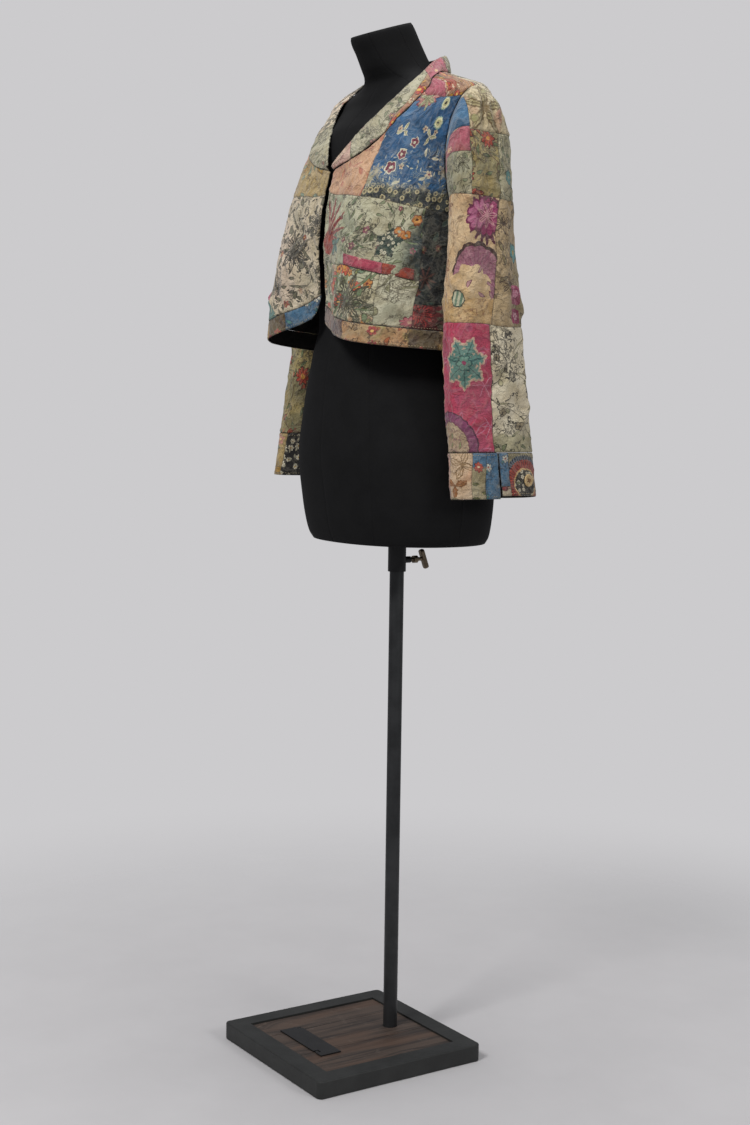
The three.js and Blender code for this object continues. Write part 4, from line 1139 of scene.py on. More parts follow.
        one_flower(0, -31, 7, 6, "d9a4b0", "9c2f55", "8c2c50", 0.25, 0, "6e2040"),
        one_flower(4, 62, 15, 5, "4f8d8c", "7fb0a6", "c3a763", 0.35, 20, "2e5453"),
    ]),
    "sage_red": ("9a9068", "7f7650", [
        patches_of(10.0, "b09a5c", 0.5, 0.62, 0.6, 4.0),
        patches_of(12.0, "3f4433", 0.56, 0.66, 0.6, 6.0),
        leaflets(42.0, 0.46, 0.36, "97452f", "5a1f18", 0.45, 2.0, "c98a50"),
        leaflets(56.0, 0.44, 0.32, "6f7a52", "3c402f", 0.45, 6.0),
        blossoms(22.0, 0.36, 9, "ab432c", "7d2620", "cf8f3c", 0.45, 0.55, 2.0, line="4d2019"),
        vines(0.1, 0.016, 0.05, "5b3a2a", "74704c", 0.0009, 0.007, 78),
        ink(30.0, "3f3224", 0.028, 0.03, 0.75),
    ]),
    "magenta": ("c44460", "b03a54", [
        patches_of(16.0, "bb5a72", 0.46, 0.6, 0.6),
        patches_of(34.0, "8a2f4c", 0.54, 0.66, 0.5, 3.0),
        vines(0.1, 0.02, 0.06, "bf5a76", "b24c68", 0.0011, 0.009, 66),
        leaflets(30.0, 0.4, 0.28, None, "c9708a", 0.4, 5.0),
        sprigs(17.0, 0.34, 6, None, "cf8298", 0.1, 0.3, 5.0),
        one_rosette(2, 0, 37, 7, "d9b098", "d9b098", 0.3, 12, 0.2, None, 1.15),
        one_rosette(2, 0, 34, 7, "5f8a7e", "2f5a56", 0.27, 12, 0.25, "b9a890", 1.15),
        one_flower(2, 0, 12, 6, "6f9a88", "4a746c", "a9486a", 0.3, 0, "2f5a56"),
        in_part(
            in_disc(-34, -122, 50, 0.0), [plain("8a4668", "7a3a5c"), ribs(-34, -122, 30, "9a5878", 0.4, 0.5)],
        ),
        one_ring(-34, -122, 50, 1.4, "54283f"),
        in_part(in_disc(-36, -124, 38, 0.0), [
            plain("bfa98a", "a98f70"),
            leaflets(70.0, 0.44, 0.34, "8d9460", "7a4a50", 0.5, 1.0),
            ink(50.0, "7a4a50", 0.03, 0.02, 0.8),
        ]),
        one_ring(-36, -124, 38, 1.2, "6a2f46"),
        in_part(below_row(-136), [plain("7c3050", "6a2846")]),
        in_part(below_row(-146), [plain("d3a6a0", "c58f8e")]),
    ]),
    "magenta_plain": ("a8475c", "943a50", [
        patches_of(16.0, "bb5a72", 0.46, 0.6, 0.6, 2.0),
        patches_of(30.0, "8a2f4c", 0.54, 0.66, 0.5, 5.0),
        vines(0.1, 0.02, 0.06, "c9657e", "b5506b", 0.0011, 0.009, -40),
        leaflets(34.0, 0.42, 0.3, "b85a74", "d09a94", 0.4, 2.0),
        blossoms(24.0, 0.3, 7, "cf9a86", "7c2846", "dcb66a", 0.35, 0.3, 6.0, line="5e1f35"),
    ]),
    "pink_small": ("b5606e", "a34f5c", [
        patches_of(20.0, "c98078", 0.48, 0.62, 0.6),
        blossoms(34.0, 0.3, 6, "d7a48e", "8b2c40", "e2c27e", 0.35, 0.5, 2.0, line="6f2233"),
        leaflets(60.0, 0.42, 0.3, "c9a08a", "6f2233", 0.3, 4.0),
        ink(32.0, "6f2a35", 0.024, 0.03, 0.6),
    ]),
    "red_floral": ("b08a68", "9a6a50", [
        patches_of(18.0, "b0533f", 0.48, 0.56, 0.85),
        leaflets(60.0, 0.46, 0.36, "6f8a6c", "3f4a38", 0.4, 3.0),
        blossoms(34.0, 0.4, 8, "b5432f", "7d221c", "e0b25c", 0.45, 0.55, 2.0, line="4a1c18"),
        leaflets(76.0, 0.44, 0.36, "c2912f", "6f3a1c", 0.35, 6.0),
        blossoms(60.0, 0.26, 5, "d8c9a8", "b08d6a", "a0402f", 0.4, 0.3, 7.0),
        ink(44.0, "4a241c", 0.03, 0.025, 0.7),
    ]),
    # navy-teal dye, with its ground darkened past the dye's own tone as painted shade for the shade between
    # the body and the sleeve
    "navy_teal": ("151c1e", "101517", [
        patches_of(11.0, "1c3032", 0.5, 0.62, 0.75),
        leaflets(46.0, 0.46, 0.36, "34473f", "4f5648", 0.4, 3.0),
        sprigs(24.0, 0.44, 8, "4a2c28", "6d4438", 0.12, 0.4, 3.0, teeth=0.2),
        blossoms(40.0, 0.3, 8, "6a302b", "8a5a3c", "8f7a48", 0.4, 0.25, 8.0, line="14181c"),
        ink(34.0, "5c5d4c", 0.02, 0.03, 0.5),
    ]),
    "maroon": ("6d6450", "57503e", [
        patches_of(13.0, "3c3a30", 0.46, 0.6, 0.8),
        leaflets(50.0, 0.44, 0.3, "5c2c28", "2c1412", 0.5, 4.0),
        one_rosette(-6, 0, 46, 17, "9a2f2d", "5c1a1c", 0.075, 8, 0.1, "5c1a1c", 0.8),
        one_rosette(-2, 2, 30, 11, "ab3a36", "6a1f20", 0.13, 20, 0.1, "5c1a1c", 0.8),
        sprigs(25.0, 0.42, 6, None, "3a2a20", 0.13, 0.45, 6.0, line="2c1f18"),
        ink(30.0, "2c1a14", 0.03, 0.03, 0.8),
    ]),
    "ochre": ("b8a06c", "a58c58", [
        patches_of(10.0, "c2ac84", 0.48, 0.6, 0.6),
        leaflets(34.0, 0.48, 0.36, "b08a3c", "7a6238", 0.5, 3.0, "8a6a30"),
        leaflets(50.0, 0.44, 0.34, "8a9a84", "5a6450", 0.35, 7.0),
        blossoms(30.0, 0.34, 5, "c08a78", "9c5a58", "e0c07a", 0.4, 0.3, 2.0),
        ink(26.0, "5f4c2c", 0.024, 0.03, 0.7),
    ]),
    "teal": ("4d7f7a", "3f6c6a", [
        patches_of(14.0, "6a9c92", 0.5, 0.62, 0.6),
        blossoms(28.0, 0.34, 6, "c9c2a2", "8d9a86", "b5703f", 0.4, 0.45, 2.0, line="2c4f4e"),
        leaflets(60.0, 0.42, 0.32, "a9b59a", "2c4f4e", 0.4, 4.0),
    ]),
    "black_floral": ("26231f", "1b1917", [
        blossoms(70.0, 0.36, 6, "cfc7ae", "a9a18a", "a8843f", 0.35, 0.75, 2.0),
        leaflets(110.0, 0.44, 0.4, "a9a48c", "5a5548", 0.45, 5.0),
    ]),
    "blue_white": ("48728f", "3a5f7c", [
        patches_of(22.0, "b9b7a6", 0.54, 0.6, 0.85),
        leaflets(64.0, 0.44, 0.36, "3f7c78", "27455c", 0.5, 4.0),
        blossoms(44.0, 0.34, 6, "cfcab6", "3c6482", "9c5a4c", 0.4, 0.4, 2.0, line="27455c"),
        ink(50.0, "20384c", 0.03, 0.02, 0.7),
    ]),
    "beige_leaf": ("e0c3a2", "d0b08c", [
        patches_of(12.0, "e0c8aa", 0.5, 0.62, 0.6),
        patches_of(16.0, "c58a60", 0.58, 0.66, 0.5, 3.0),
        one_rosette(-6, -14, 20, 3, "a86f3c", "7d4a2a", 0.22, 35, 0.1, "8a5a2f"),
        one_rosette(6, 18, 24, 4, None, "9a7a4c", 0.18, 65, 0.1, "8a6a42"),
        leaflets(52.0, 0.42, 0.26, "b3a67c", "8a7650", 0.35, 2.0),
        ink(34.0, "86663f", 0.02, 0.03, 0.6),
    ]),
    "blue_bud": ("48708c", "3b5f7c", [
        patches_of(20.0, "6b8da0", 0.5, 0.6, 0.6),
        in_part(
            below_row(0, 3.0),
            [plain("b3a887", "a0936c"), leaflets(70.0, 0.44, 0.34, "6a6a38", "4a5038", 0.5, 2.0)],
        ),
        one_flower(0, 0, 7.5, 8, "b5503c", "8e3a3c", "e2c6a0", 0.25, 0, "5a2a2a"),
    ]),
    "red_fan": ("9a9070", "857c5c", [
        patches_of(16.0, "6f6a50", 0.52, 0.62, 0.7),
        ink(40.0, "33331f", 0.03, 0.03, 0.8),
        in_part(
            in_disc(0, 0, 44, 1.6, 26.0), [plain("2c3644", "222a36"), ribs(0, 0, 58, "8a95a0", 0.5, 0.7)],
        ),
        in_part(in_disc(0, 0, 38), [plain("8f352c", "a2402f"), ribs(0, 0, 44, "4a1a1c", 0.3, 0.85)]),
        in_part(in_disc(0, 0, 25), [plain("d0ae78", "c59c66")]),
        in_part(in_disc(0, 0, 22.5), [plain("25221d", "2f2a20"),
                                      blossoms(110.0, 0.4, 6, "cfc7ae", "a9a18a", "7a6a4c", 0.35, 0.7, 2.0),
                                      leaflets(90.0, 0.44, 0.34, "6f7450", "2c2a20", 0.3, 5.0)]),
    ]),
    "dark_red_white": ("c5b79c", "b3a286", [
        leaflets(62.0, 0.48, 0.5, "7a2f2f", "4a1c1c", 0.7, 3.0),
        ink(50.0, "4a1c1c", 0.04, 0.02, 0.8),
    ]),
    "hem_brown": ("b39468", "9c7c52", [
        patches_of(22.0, "c4a468", 0.46, 0.56, 0.85),
        patches_of(20.0, "8a4f44", 0.56, 0.62, 0.75, 6.0),
        patches_of(15.0, "3f3a2c", 0.56, 0.64, 0.8, 4.0),
        leaflets(60.0, 0.44, 0.36, "7d8058", "4c4030", 0.4, 2.0),
        blossoms(46.0, 0.34, 6, "b5564a", "7c2f2a", "d9b567", 0.4, 0.35, 5.0),
        ink(40.0, "3f3224", 0.03, 0.03, 0.7),
    ]),
    "hem_cream": ("b89c74", "9c7c54", [
        patches_of(20.0, "4a4232", 0.6, 0.66, 0.8, 8.0),
        patches_of(24.0, "c89a6c", 0.46, 0.56, 0.85),
        patches_of(22.0, "a9a060", 0.56, 0.62, 0.7, 2.0),
        leaflets(60.0, 0.44, 0.36, "b0643c", "7c4a30", 0.45, 2.0),
        blossoms(50.0, 0.34, 6, "a8504a", "6c2f3a", "d9b567", 0.4, 0.4, 5.0),
        ink(40.0, "4f3a28", 0.04, 0.03, 0.9),
    ]),
    "hem_purple": ("8d7468", "6f5a54", [
        patches_of(22.0, "4a3c44", 0.48, 0.58, 0.85),
        patches_of(20.0, "b58f7c", 0.56, 0.62, 0.8, 6.0),
        leaflets(60.0, 0.44, 0.36, "a9a48c", "3a2f34", 0.4, 2.0),
        ink(40.0, "2f2528", 0.03, 0.03, 0.75),
    ]),
    "welt_rose": ("b04458", "98344a", [
        patches_of(40.0, "c8727c", 0.52, 0.62, 0.6),
        patches_of(60.0, "7d2438", 0.56, 0.64, 0.6, 3.0),
        blossoms(70.0, 0.3, 5, "d09a90", "8f2a3e", "e0bd7e", 0.4, 0.3, 2.0),
    ]),
    "welt_red": ("8f2f22", "7a271b", [
        patches_of(40.0, "c4593c", 0.52, 0.62, 0.6),
    ]),
    "collar_sage": ("bcb79c", "a9a283", [
        leaflets(64.0, 0.42, 0.34, "7d8562", "4d4a36", 0.45, 1.0),
        vines(0.08, 0.012, 0.034, "5c5943", "87896a", 0.0007, 0.005, 14),
        blossoms(44.0, 0.28, 6, "a87a72", "7d4a4c", "cfa860", 0.35, 0.25, 5.0, line="4a3a34"),
        leaflets(90.0, 0.42, 0.3, None, "3f3c2c", 0.45, 6.0),
        ink(40.0, "3a3726", 0.03, 0.03, 0.8),
    ]),
    "collar_pink": ("cfab9a", "bd9080", [
        patches_of(24.0, "d3b9a0", 0.5, 0.6, 0.8),
        leaflets(60.0, 0.44, 0.3, "b0605a", "7f3a38", 0.3, 3.0),
        ink(38.0, "6f3434", 0.026, 0.03, 0.7),
    ]),
}
MATERIALS = {name: cloth_material("print_" + name, *spec) for name, spec in PRINTS.items()}


def clouded(net, place, scale, detail, base, second):
    cloud = net.noise(place, scale, detail, 0.6)
    return net.mix(net.ramp(cloud, 0.3, 0.7), srgb(base), srgb(second))


def simple_material(name, base, second, scale, rough, bump=0.3, size=0.0006, metallic=0.0, specular=0.5):
    """Two near tints in soft clouds, with a fine grain in the relief and the gloss."""
    material, net, shader = new_material(name)
    place = net.outs(net.node("ShaderNodeTexCoord"))["Object"]
    fine = net.noise(place, scale * 9, 3.0, 0.6)
    set_shader(net, shader, {
        "Base Color": clouded(net, place, scale, 3.0, base, second), "Normal": net.bump(bump, size, fine),
        "Roughness": fine * 0.12 + (rough - 0.06), "Metallic": metallic, "Specular IOR Level": specular,
    })
    return material


LINING = simple_material("lining_dark", "2b2622", "1f1b18", 60, 0.92, 0.4)
JERSEY = simple_material("form_jersey", "0d0d0e", "111112", 30, 0.85, 0.25, 0.0004, specular=0.22)
STEEL = simple_material("dark_satin_steel", "3a3b3c", "2c2d2e", 24, 0.42, 0.15, 0.0003, 0.55)
FRAME_PAINT = simple_material("frame_paint", "2f302f", "252625", 22, 0.55, 0.3, 0.0004, 0.2)
BRONZE = simple_material("old_bronze", "8d7f6c", "6a5d4c", 60, 0.38, 0.3, 0.0003, 0.85)
BLACK_STEEL = simple_material("black_steel", "1c1c1d", "242425", 40, 0.45, 0.2, 0.0003, 0.4)
HORN = simple_material("button_horn", "cdb489", "b0925f", 220, 0.36, 0.2, 0.0002)
THREAD = simple_material("pale_thread", "c9bb98", "a8987a", 900, 0.85, 0.2)
DARK_THREAD = simple_material("dark_thread", "4a3f33", "332b24", 900, 0.85, 0.2)


# ---------------------------------------------------------------- pieced cloth
def vertical(low, high, left, right):
    """A seam up the cloth, from a place (degrees, height) to one above it."""
    return ("cut", low, high, left, right)


def level(left_end, right_end, below, above):
    """A seam across the cloth, with the patches below and above it."""
    return ("cut", left_end, right_end, above, below)


def patch(name, at=(0, 0), turn=0.0):
    return ("patch", name, at, turn)


def strips(first, *rest):
    """Patches side by side: a patch, the two ends of a seam, the next patch and so on."""
    return vertical(*rest[0], first, strips(*rest[1:])) if rest else first


cloths = {}
CREASE_SCALE = 2.3
SEAM_SIDE = 1.7  # extra rows of points run this far beside each seam


def wander(x, y):
    dx = 1.5 * np.sin(y / 23 + 1.3) + 0.7 * np.sin(y / 9.7 + x / 41)
    dy = 1.5 * np.sin(x / 27 + 0.4) + 0.7 * np.sin(x / 11.3 + y / 37)
    return x + dx, y + dy


def split(bm, tag, region, tree, to_x, leaves):
    if tree[0] == "patch":
        leaves[region] = tree
        return
    _, low, high, left, right = tree
    p, q = (Vector((float(to_x(at)), z, 0)) for at, z in (low, high))
    normal = Vector((-(q - p).y, (q - p).x, 0)).normalized()
    for offset in (-SEAM_SIDE, SEAM_SIDE, 0):
        faces = [f for f in bm.faces if f[tag] == region]
        if not faces:
            return
        edges = list({e for f in faces for e in f.edges})
        verts = list({v for f in faces for v in f.verts})
        bmesh.ops.bisect_plane(bm, geom=verts + edges + faces, dist=0.04, plane_co=p + normal * offset,
                               plane_no=normal)
    other = 1 + max([region, *split.used])
    split.used.append(other)
    for f in bm.faces:
        if f[tag] == region and (f.calc_center_median() - p).dot(normal) < 0:
            f[tag] = other
    split(bm, tag, region, left, to_x, leaves)
    split(bm, tag, other, right, to_x, leaves)


def noise_at(x, y, scale, seed=0.0):
    """Smooth waves that never quite repeat."""
    x, y = x / scale + seed, y / scale - seed
    a = np.sin(1.3 * x + 0.9 * np.sin(1.1 * y + seed)) * np.cos(1.1 * y + 1.2 * np.sin(0.8 * x + 2.1 * seed))
    b = np.sin(2.3 * y - 1.7 * x + 1.4 * np.sin(1.9 * x + seed)) * 0.5
    return a + b


def crease_depth(creases, x, y, to_x):
    depth = np.zeros(np.shape(x))
    for a, az, b, bz, width, deep in creases:
        deep *= CREASE_SCALE
        ax, bx = float(to_x(a)), float(to_x(b))
        dx, dy = bx - ax, bz - az
        length = math.hypot(dx, dy)
        t = ((x - ax) * dx + (y - az) * dy) / length**2
        bend = np.sin(np.clip(t, 0, 1) * math.pi) * length * 0.05
        away = ((x - ax) * dy - (y - az) * dx) / length - bend
        ends = smooth(t / 0.3) * smooth((1 - t) / 0.3)
        depth += deep * np.exp(-(away / width) ** 2) * ends
    return depth


def make_piece(name, bm, materials):
    mesh = bpy.data.meshes.new(name)
    bm.to_mesh(mesh)
    bm.free()
    for material in materials:
        mesh.materials.append(material)
    piece = bpy.data.objects.new(name, mesh)
    bpy.context.scene.collection.objects.link(piece)
    for polygon in mesh.polygons:
        polygon.use_smooth = True
    return piece


def pieced_cloth(node, p_grid, q_grid, x_grid, y_grid, surface, tree, to_x, creases=(), crumple=0.8,
                 seam_rise=1.0):
    """Cuts a fine grid of cloth along its patchwork seams and lays it on its surface."""
    bm = bmesh.new()
    tag = bm.faces.layers.int.new("patch")
    keys = [bm.verts.layers.float.new(key) for key in ("p", "q", "x", "y")]
    wx, wy = wander(x_grid, y_grid)
    rows, columns = p_grid.shape
    flat = [np.ravel(g).tolist() for g in (p_grid, q_grid, x_grid, y_grid, wx, wy)]
    points = []
    for p, q, x, y, ax, ay in zip(*flat):
        vert = bm.verts.new((ax, ay, 0))
        for key, value in zip(keys, (p, q, x, y)):
            vert[key] = value
        points.append(vert)
    for j in range(rows - 1):
        for i in range(columns - 1):
            k = j * columns + i
            bm.faces.new((points[k], points[k + 1], points[k + columns + 1], points[k + columns]))
    leaves = {}
    split.used = []
    split(bm, tag, 0, tree, to_x, leaves)
    bm.verts.index_update()
    p, q, x, y = (np.array([v[key] for v in bm.verts]) for key in keys)

    borders = []
    for edge in bm.edges:
        ends = edge.link_faces
        if len(ends) < 2 or ends[0][tag] != ends[1][tag]:
            a, b = (v.co for v in edge.verts)
            steps = max(1, int((a - b).length / 0.8))
            borders += [a.lerp(b, i / steps) for i in range(steps + 1)]
    tree_of_points = KDTree(len(borders))
    for i, point in enumerate(borders):
        tree_of_points.insert(point, i)
    tree_of_points.balance()
    away = np.array([tree_of_points.find(v.co)[2] for v in bm.verts])

    relief = 0.4 * np.exp(-((away - 4) / 3) ** 2) - 0.8 * np.exp(-((away / 1.3) ** 2))
    pucker = noise_at(x, y, 4.2, 1.7) * np.exp(-away / 6) * 0.5
    ridges = np.exp(-(noise_at(x, y, 27, 3.1) / 0.2) ** 2)
    ridges += 0.6 * np.exp(-(noise_at(x, y, 15, 5.3) / 0.22) ** 2)
    swells = 0.6 * noise_at(x, y, 17, 0.6) + 0.4 * noise_at(x, y, 8, 2.2)
    waves = 1.3 * crumple * (swells + 0.9 * (ridges - 0.35))
    out = CLOTH + seam_rise * relief + pucker + waves + crease_depth(creases, x, y, to_x)
    place = surface(p, q, out) * MM
    for vert, at in zip(bm.verts, place):
        vert.co = at

    uv_print = bm.loops.layers.uv.new("print")
    uv_edge = bm.loops.layers.uv.new("edge")
    names = sorted({leaf[1] for leaf in leaves.values()})
    area = 0.0
    for face in bm.faces:
        _, print_name, at, turn = leaves[face[tag]]
        face.material_index = names.index(print_name)
        c, s = math.cos(math.radians(turn)), math.sin(math.radians(turn))
        ax, ay = float(to_x(at[0])), at[1]
        corners = []
        for loop in face.loops:
            k = loop.vert.index
            dx, dy = (x[k] - ax) * MM, (y[k] - ay) * MM
            corners.append((x[k], y[k]))
            loop[uv_print].uv = (c * dx + s * dy, c * dy - s * dx)
            loop[uv_edge].uv = (away[k] / 10, 0.5)
        area += abs(sum(a[0] * b[1] - a[1] * b[0] for a, b in zip(corners, corners[1:] + corners[:1]))) / 2
    bm.normal_update()
    middle = place.mean(axis=0)
    facing = sum((f.calc_center_median() - Vector(middle)).dot(f.normal) * f.calc_area() for f in bm.faces)
    if facing < 0:
        bmesh.ops.reverse_faces(bm, faces=bm.faces[:])
    piece = make_piece(node + "_cloth", bm, [MATERIALS[n] for n in names] + [LINING])
    shell = piece.modifiers.new("shell", "SOLIDIFY")
    shell.thickness = SHELL * MM
    shell.offset = -1
    shell.material_offset = len(names)
    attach(piece, "form")
    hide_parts(node)
    area * MM * MM
    cloths[node] = piece


# ---------------------------------------------------------------- the jacket's charts
def even_steps(position, low, high, count):
    """Parameter values whose points lie evenly apart, and the length up to each value."""
    values = np.linspace(low, high, 721)
    points = position(values)
    lengths = np.concatenate([[0], np.cumsum(np.linalg.norm(np.diff(points, axis=0), axis=1))])
    return (
        np.interp(np.linspace(0, lengths[-1], count), lengths, values),
        lambda at: np.interp(at, values, lengths),
    )


GIRTH = even_steps(lambda a: plain_body(a, np.full(a.shape, 1290.0)), 0, 2 * math.pi, 2)[1]


def girth_at(degrees):
    return GIRTH(np.radians(degrees))


FRONT_LEFT = level(
    (0, 1366), (90, 1319),
    vertical(
        (61.3, 1154), (64.7, 1322),
        level(
            (0, 1264), (64, 1226),
            vertical(
                (47.5, 1160), (47.8, 1228), patch("sage_low", (16.4, 1217)),
                patch("sage_plain", (55, 1190), 4),
            ),
            patch("sage_high", (10.5, 1317)),
        ),
        level((61, 1193), (90, 1189), patch("maroon", (64, 1176)), patch("navy_teal", (72, 1260), 20)),
    ),
    vertical(
        (31.9, 1346), (38.4, 1493),
        level((10, 1428), (38, 1446), patch("peach_lines", (20, 1380)), patch("red_floral", (33, 1452), 30)),
        level(
            (38, 1501), (90, 1497), patch("blue_flowers", (50, 1345)),
            vertical(
                (60, 1497), (60, 1520), patch("pink_small", (50, 1510)), patch("red_floral", (75, 1510)),
            ),
        ),
    ),
)
FRONT_RIGHT = level(
    (0, 1362), (90, 1372),
    vertical(
        (33, 1190), (54, 1256), patch("cream_ink", (22, 1262)),
        level(
            (40, 1262), (90, 1258),
            level((30, 1203), (90, 1197), patch("teal", (60, 1170)), patch("magenta_plain", (60, 1220))),
            patch("sage_red", (70, 1300), 10),
        ),
    ),
    level(
        (0, 1446), (90, 1440),
        vertical((52, 1360), (54, 1450), patch("ochre", (35, 1400)), patch("cream_leaf", (70, 1400), 15)),
        vertical(
            (58, 1440), (58, 1540), patch("cream_ink", (45, 1480), 35), patch("collar_pink", (75, 1490)),
        ),
    ),
)
BACK = vertical(
    (138, 1100), (141, 1560),
    level(
        (90, 1382), (140, 1371),
        level(
            (90, 1247), (140, 1258), patch("sage_garden", (115, 1200), 8), patch("maroon", (115, 1310), 60),
        ),
        patch("cream_ink", (115, 1450), 20),
    ),
    vertical(
        (182, 1100), (178, 1560),
        level(
            (140, 1424), (180, 1417),
            level(
                (140, 1283), (180, 1290), patch("ochre", (160, 1220), 40),
                patch("magenta_plain", (160, 1350), 12),
            ),
            patch("blue_flowers", (160, 1560), 180),
        ),
        vertical(
            (223, 1100), (219, 1560),
            level(
                (180, 1352), (222, 1361),
                level(
                    (180, 1222), (222, 1214), patch("navy_teal", (200, 1170)),
                    patch("cream_leaf", (200, 1290)),
                ),
                patch("sage_red", (200, 1430), 15),
            ),
            level(
                (220, 1402), (270, 1396),
                level(
                    (220, 1266), (270, 1259), patch("peach_lines", (245, 1200), 70),
                    patch("sage_sketch", (245, 1330)),
                ),
                patch("tan_grey", (245, 1450), 30),
            ),
        ),
    ),
)


def sleeve_tree(left, lift):
    """Patches of one sleeve, in degrees round from its outside towards the front."""
    top, low = 1350 + lift * 0.4, 1165 + lift * 0.7

    def upright(low_end, high_end, front, behind):
        pair = (front, behind) if left else (behind, front)
        return vertical(low_end, high_end, *pair)

    if not left:
        return level(
            (-180, top), (180, top),
            level(
                (-180, low), (180, low - 6),
                upright(
                    (8, 960), (2, low), patch("sage_red", (60, 1080), 12),
                    patch("blue_white", (-50, 1080), 30),
                ),
                upright(
                    (-30, low), (-24, top), patch("tan_grey", (20, 1260)),
                    patch("collar_pink", (-90, 1260), 40),
                ),
            ),
            upright(
                (20, top), (22, 1600), patch("sage_sketch", (70, 1420), 20),
                level(
                    (-180, 1452), (180, 1458), patch("ochre", (-40, 1400)),
                    patch("cream_leaf", (-20, 1490), 60),
                ),
            ),
        )
    return level(
        (180, top), (-180, top),
        level(
            (180, low), (-180, low),
            upright(
                (9.1, 977), (2.4, 1165),
                upright(
                    (112, 977), (108, 1165), patch("peach_lines", (150, 1080)),
                    patch("magenta", (45.5, 1107)),
                ),
                upright(
                    (-100, 977), (-96, 1165), patch("cream_sketch", (-30, 1080)),
                    patch("navy_teal", (-150, 1080)),
                ),
            ),
            upright(
                (-1, 1165), (-14, 1350),
                upright(
                    (118, 1165), (114, 1350), patch("ochre", (150, 1260), 30), patch("tan_arch", (9.5, 1320)),
                ),
                upright(
                    (-96, 1165), (-92, 1350), patch("tan_grey", (-41.3, 1211)),
                    patch("sage_garden", (-140, 1260)),
                ),
            ),
        ),
        upright(
            (33, 1350), (36, 1600),
            level(
                (180, 1446), (-180, 1452),
                level(
                    (180, 1411), (-180, 1414), patch("sage_sketch", (60, 1380), 10),
                    patch("pink_small", (60, 1430)),
                ),
                patch("blue_plain", (60, 1470)),
            ),
            level(
                (180, 1441), (-180, 1449),
                upright(
                    (-16, 1350), (-20, 1450), patch("sage_red", (10, 1395)), patch("sage_teal", (-42, 1382)),
                ),
                patch("cream_leaf", (5, 1480)),
            ),
        ),
    )


CUFF_TREE = {  # places are shares of the way round from the vent, and heights above the edge
    1: vertical(
        (0.27, 0), (0.27, 70),
        strips(
            level((1, 17), (0, 15), patch("dark_red_white", (0.97, 8)),
                  patch("blue_white", (0.97, 40), 20)),
            ((0.96, 0), (0.967, 70)), patch("red_fan", (0.895, 20)),
            ((0.8, 0), (0.8, 70)), patch("sage_sketch", (0.6, 30)),
            ((0.5, 0), (0.48, 70)), patch("collar_pink", (0.4, 30)),
        ),
        strips(
            patch("beige_leaf", (0.17, 34)),
            ((0.104, 0), (0.1, 70)), patch("blue_bud", (0.076, 48)),
            ((0.052, 0), (0.048, 70)), patch("blue_white", (0.02, 30), 40),
        ),
    ),
    -1: strips(
        patch("ochre", (0.2, 30)),
        ((0.3, 0), (0.31, 70)), patch("black_floral", (0.5, 30)),
        ((0.66, 0), (0.64, 70)), patch("red_floral", (0.85, 30)),
    ),
}
HEM_TREES = {
    "hem_band_left": strips(
        patch("hem_purple", (10, 1160), 30),
        ((31, 1100), (32, 1200)), patch("hem_cream", (40, 1150)),
        ((61, 1100), (60, 1200)), patch("hem_brown", (70, 1140)),
    ),
    "hem_band_right": strips(
        patch("blue_white", (10, 1180)),
        ((22, 1100), (24, 1250)), patch("hem_brown", (33, 1170)),
        ((44, 1100), (42, 1250)), patch("sage_sketch", (60, 1150)),
    ),
    "hem_band_back": strips(
        patch("hem_brown", (110, 1130)),
        ((128, 1090), (130, 1200)), patch("collar_pink", (150, 1130)),
        ((171, 1090), (169, 1200)), patch("sage_sketch", (200, 1130)),
        ((226, 1090), (228, 1200)), patch("ochre", (250, 1130)),
    ),
}
COLLAR_TREE = strips(  # places are rows of the neckline, and the height above it
    patch("collar_pink", (1.5, 18)),
    ((1.1, 0), (1.3, 40)), level((2.2, -4), (6.2, 20), patch("red_floral", (4, 10)),
                                 patch("collar_sage", (5, 18))),
    ((6.1, 0), (6.3, 40)), patch("pink_small", (7, 18)),
    ((8.0, 0), (7.9, 40)), patch("collar_sage", (10, 18), 10),
    ((12.4, 0), (12.2, 40)), patch("cream_ink", (14, 18)),
    ((16.6, 0), (16.8, 40)), patch("collar_sage", (18, 18), 30),
)
WELT_TREE = strips(
    patch("welt_rose", (38, 1245)), ((48.5, 1200), (48.9, 1300)), patch("welt_red", (55, 1245)),
)


def girth_grid(grid):
    angle, z = grid
    return angle, z, GIRTH(angle), z


def add_body_cloth():
    for node, side, tree, creases in (
        ("front_left", 1, FRONT_LEFT, CREASES["front_left"]),
        ("front_right", -1, FRONT_RIGHT, CREASES["front_right"]),
    ):
        p, q, x, y = girth_grid(front_grid(side, 96, 132))
        place = lambda a, z, out, side=side: body_surface(side * a, z, out)
        pieced_cloth(node, p, q, x, y, place, tree, girth_at, creases)
    p, q, x, y = girth_grid(back_grid(140, 132))
    pieced_cloth("back", p, q, x, y, body_surface, BACK, girth_at, CREASES["back"])


def add_hem_bands():
    for node, side in (("hem_band_left", 1), ("hem_band_right", -1)):
        v = np.linspace(0, 1, 13)[:, None]
        u = np.linspace(0, 1, 96)[None, :]
        corner = float(hem_height(FRONT_CORNER, side))
        start = front_edge(side, corner + HEM_BAND * v)
        angle = mix(start, math.pi / 2, u)
        z = hem_height(angle, side) + (HEM_BAND - 0.2) * v
        hem_piece(node, angle, z, side)
    u, v = np.meshgrid(np.linspace(0, 1, 140), np.linspace(0, 1, 13))
    angle = mix(math.pi / 2, 1.5 * math.pi, u)
    hem_piece("hem_band_back", angle, hem_height(angle, 1) + (HEM_BAND - 0.2) * v, 1)


def hem_piece(node, angle, z, side):
    place = lambda a, height, out: body_surface(side * a, height, out)
    pieced_cloth(node, angle, z, GIRTH(angle), z, place, HEM_TREES[node], girth_at, crumple=0.5)


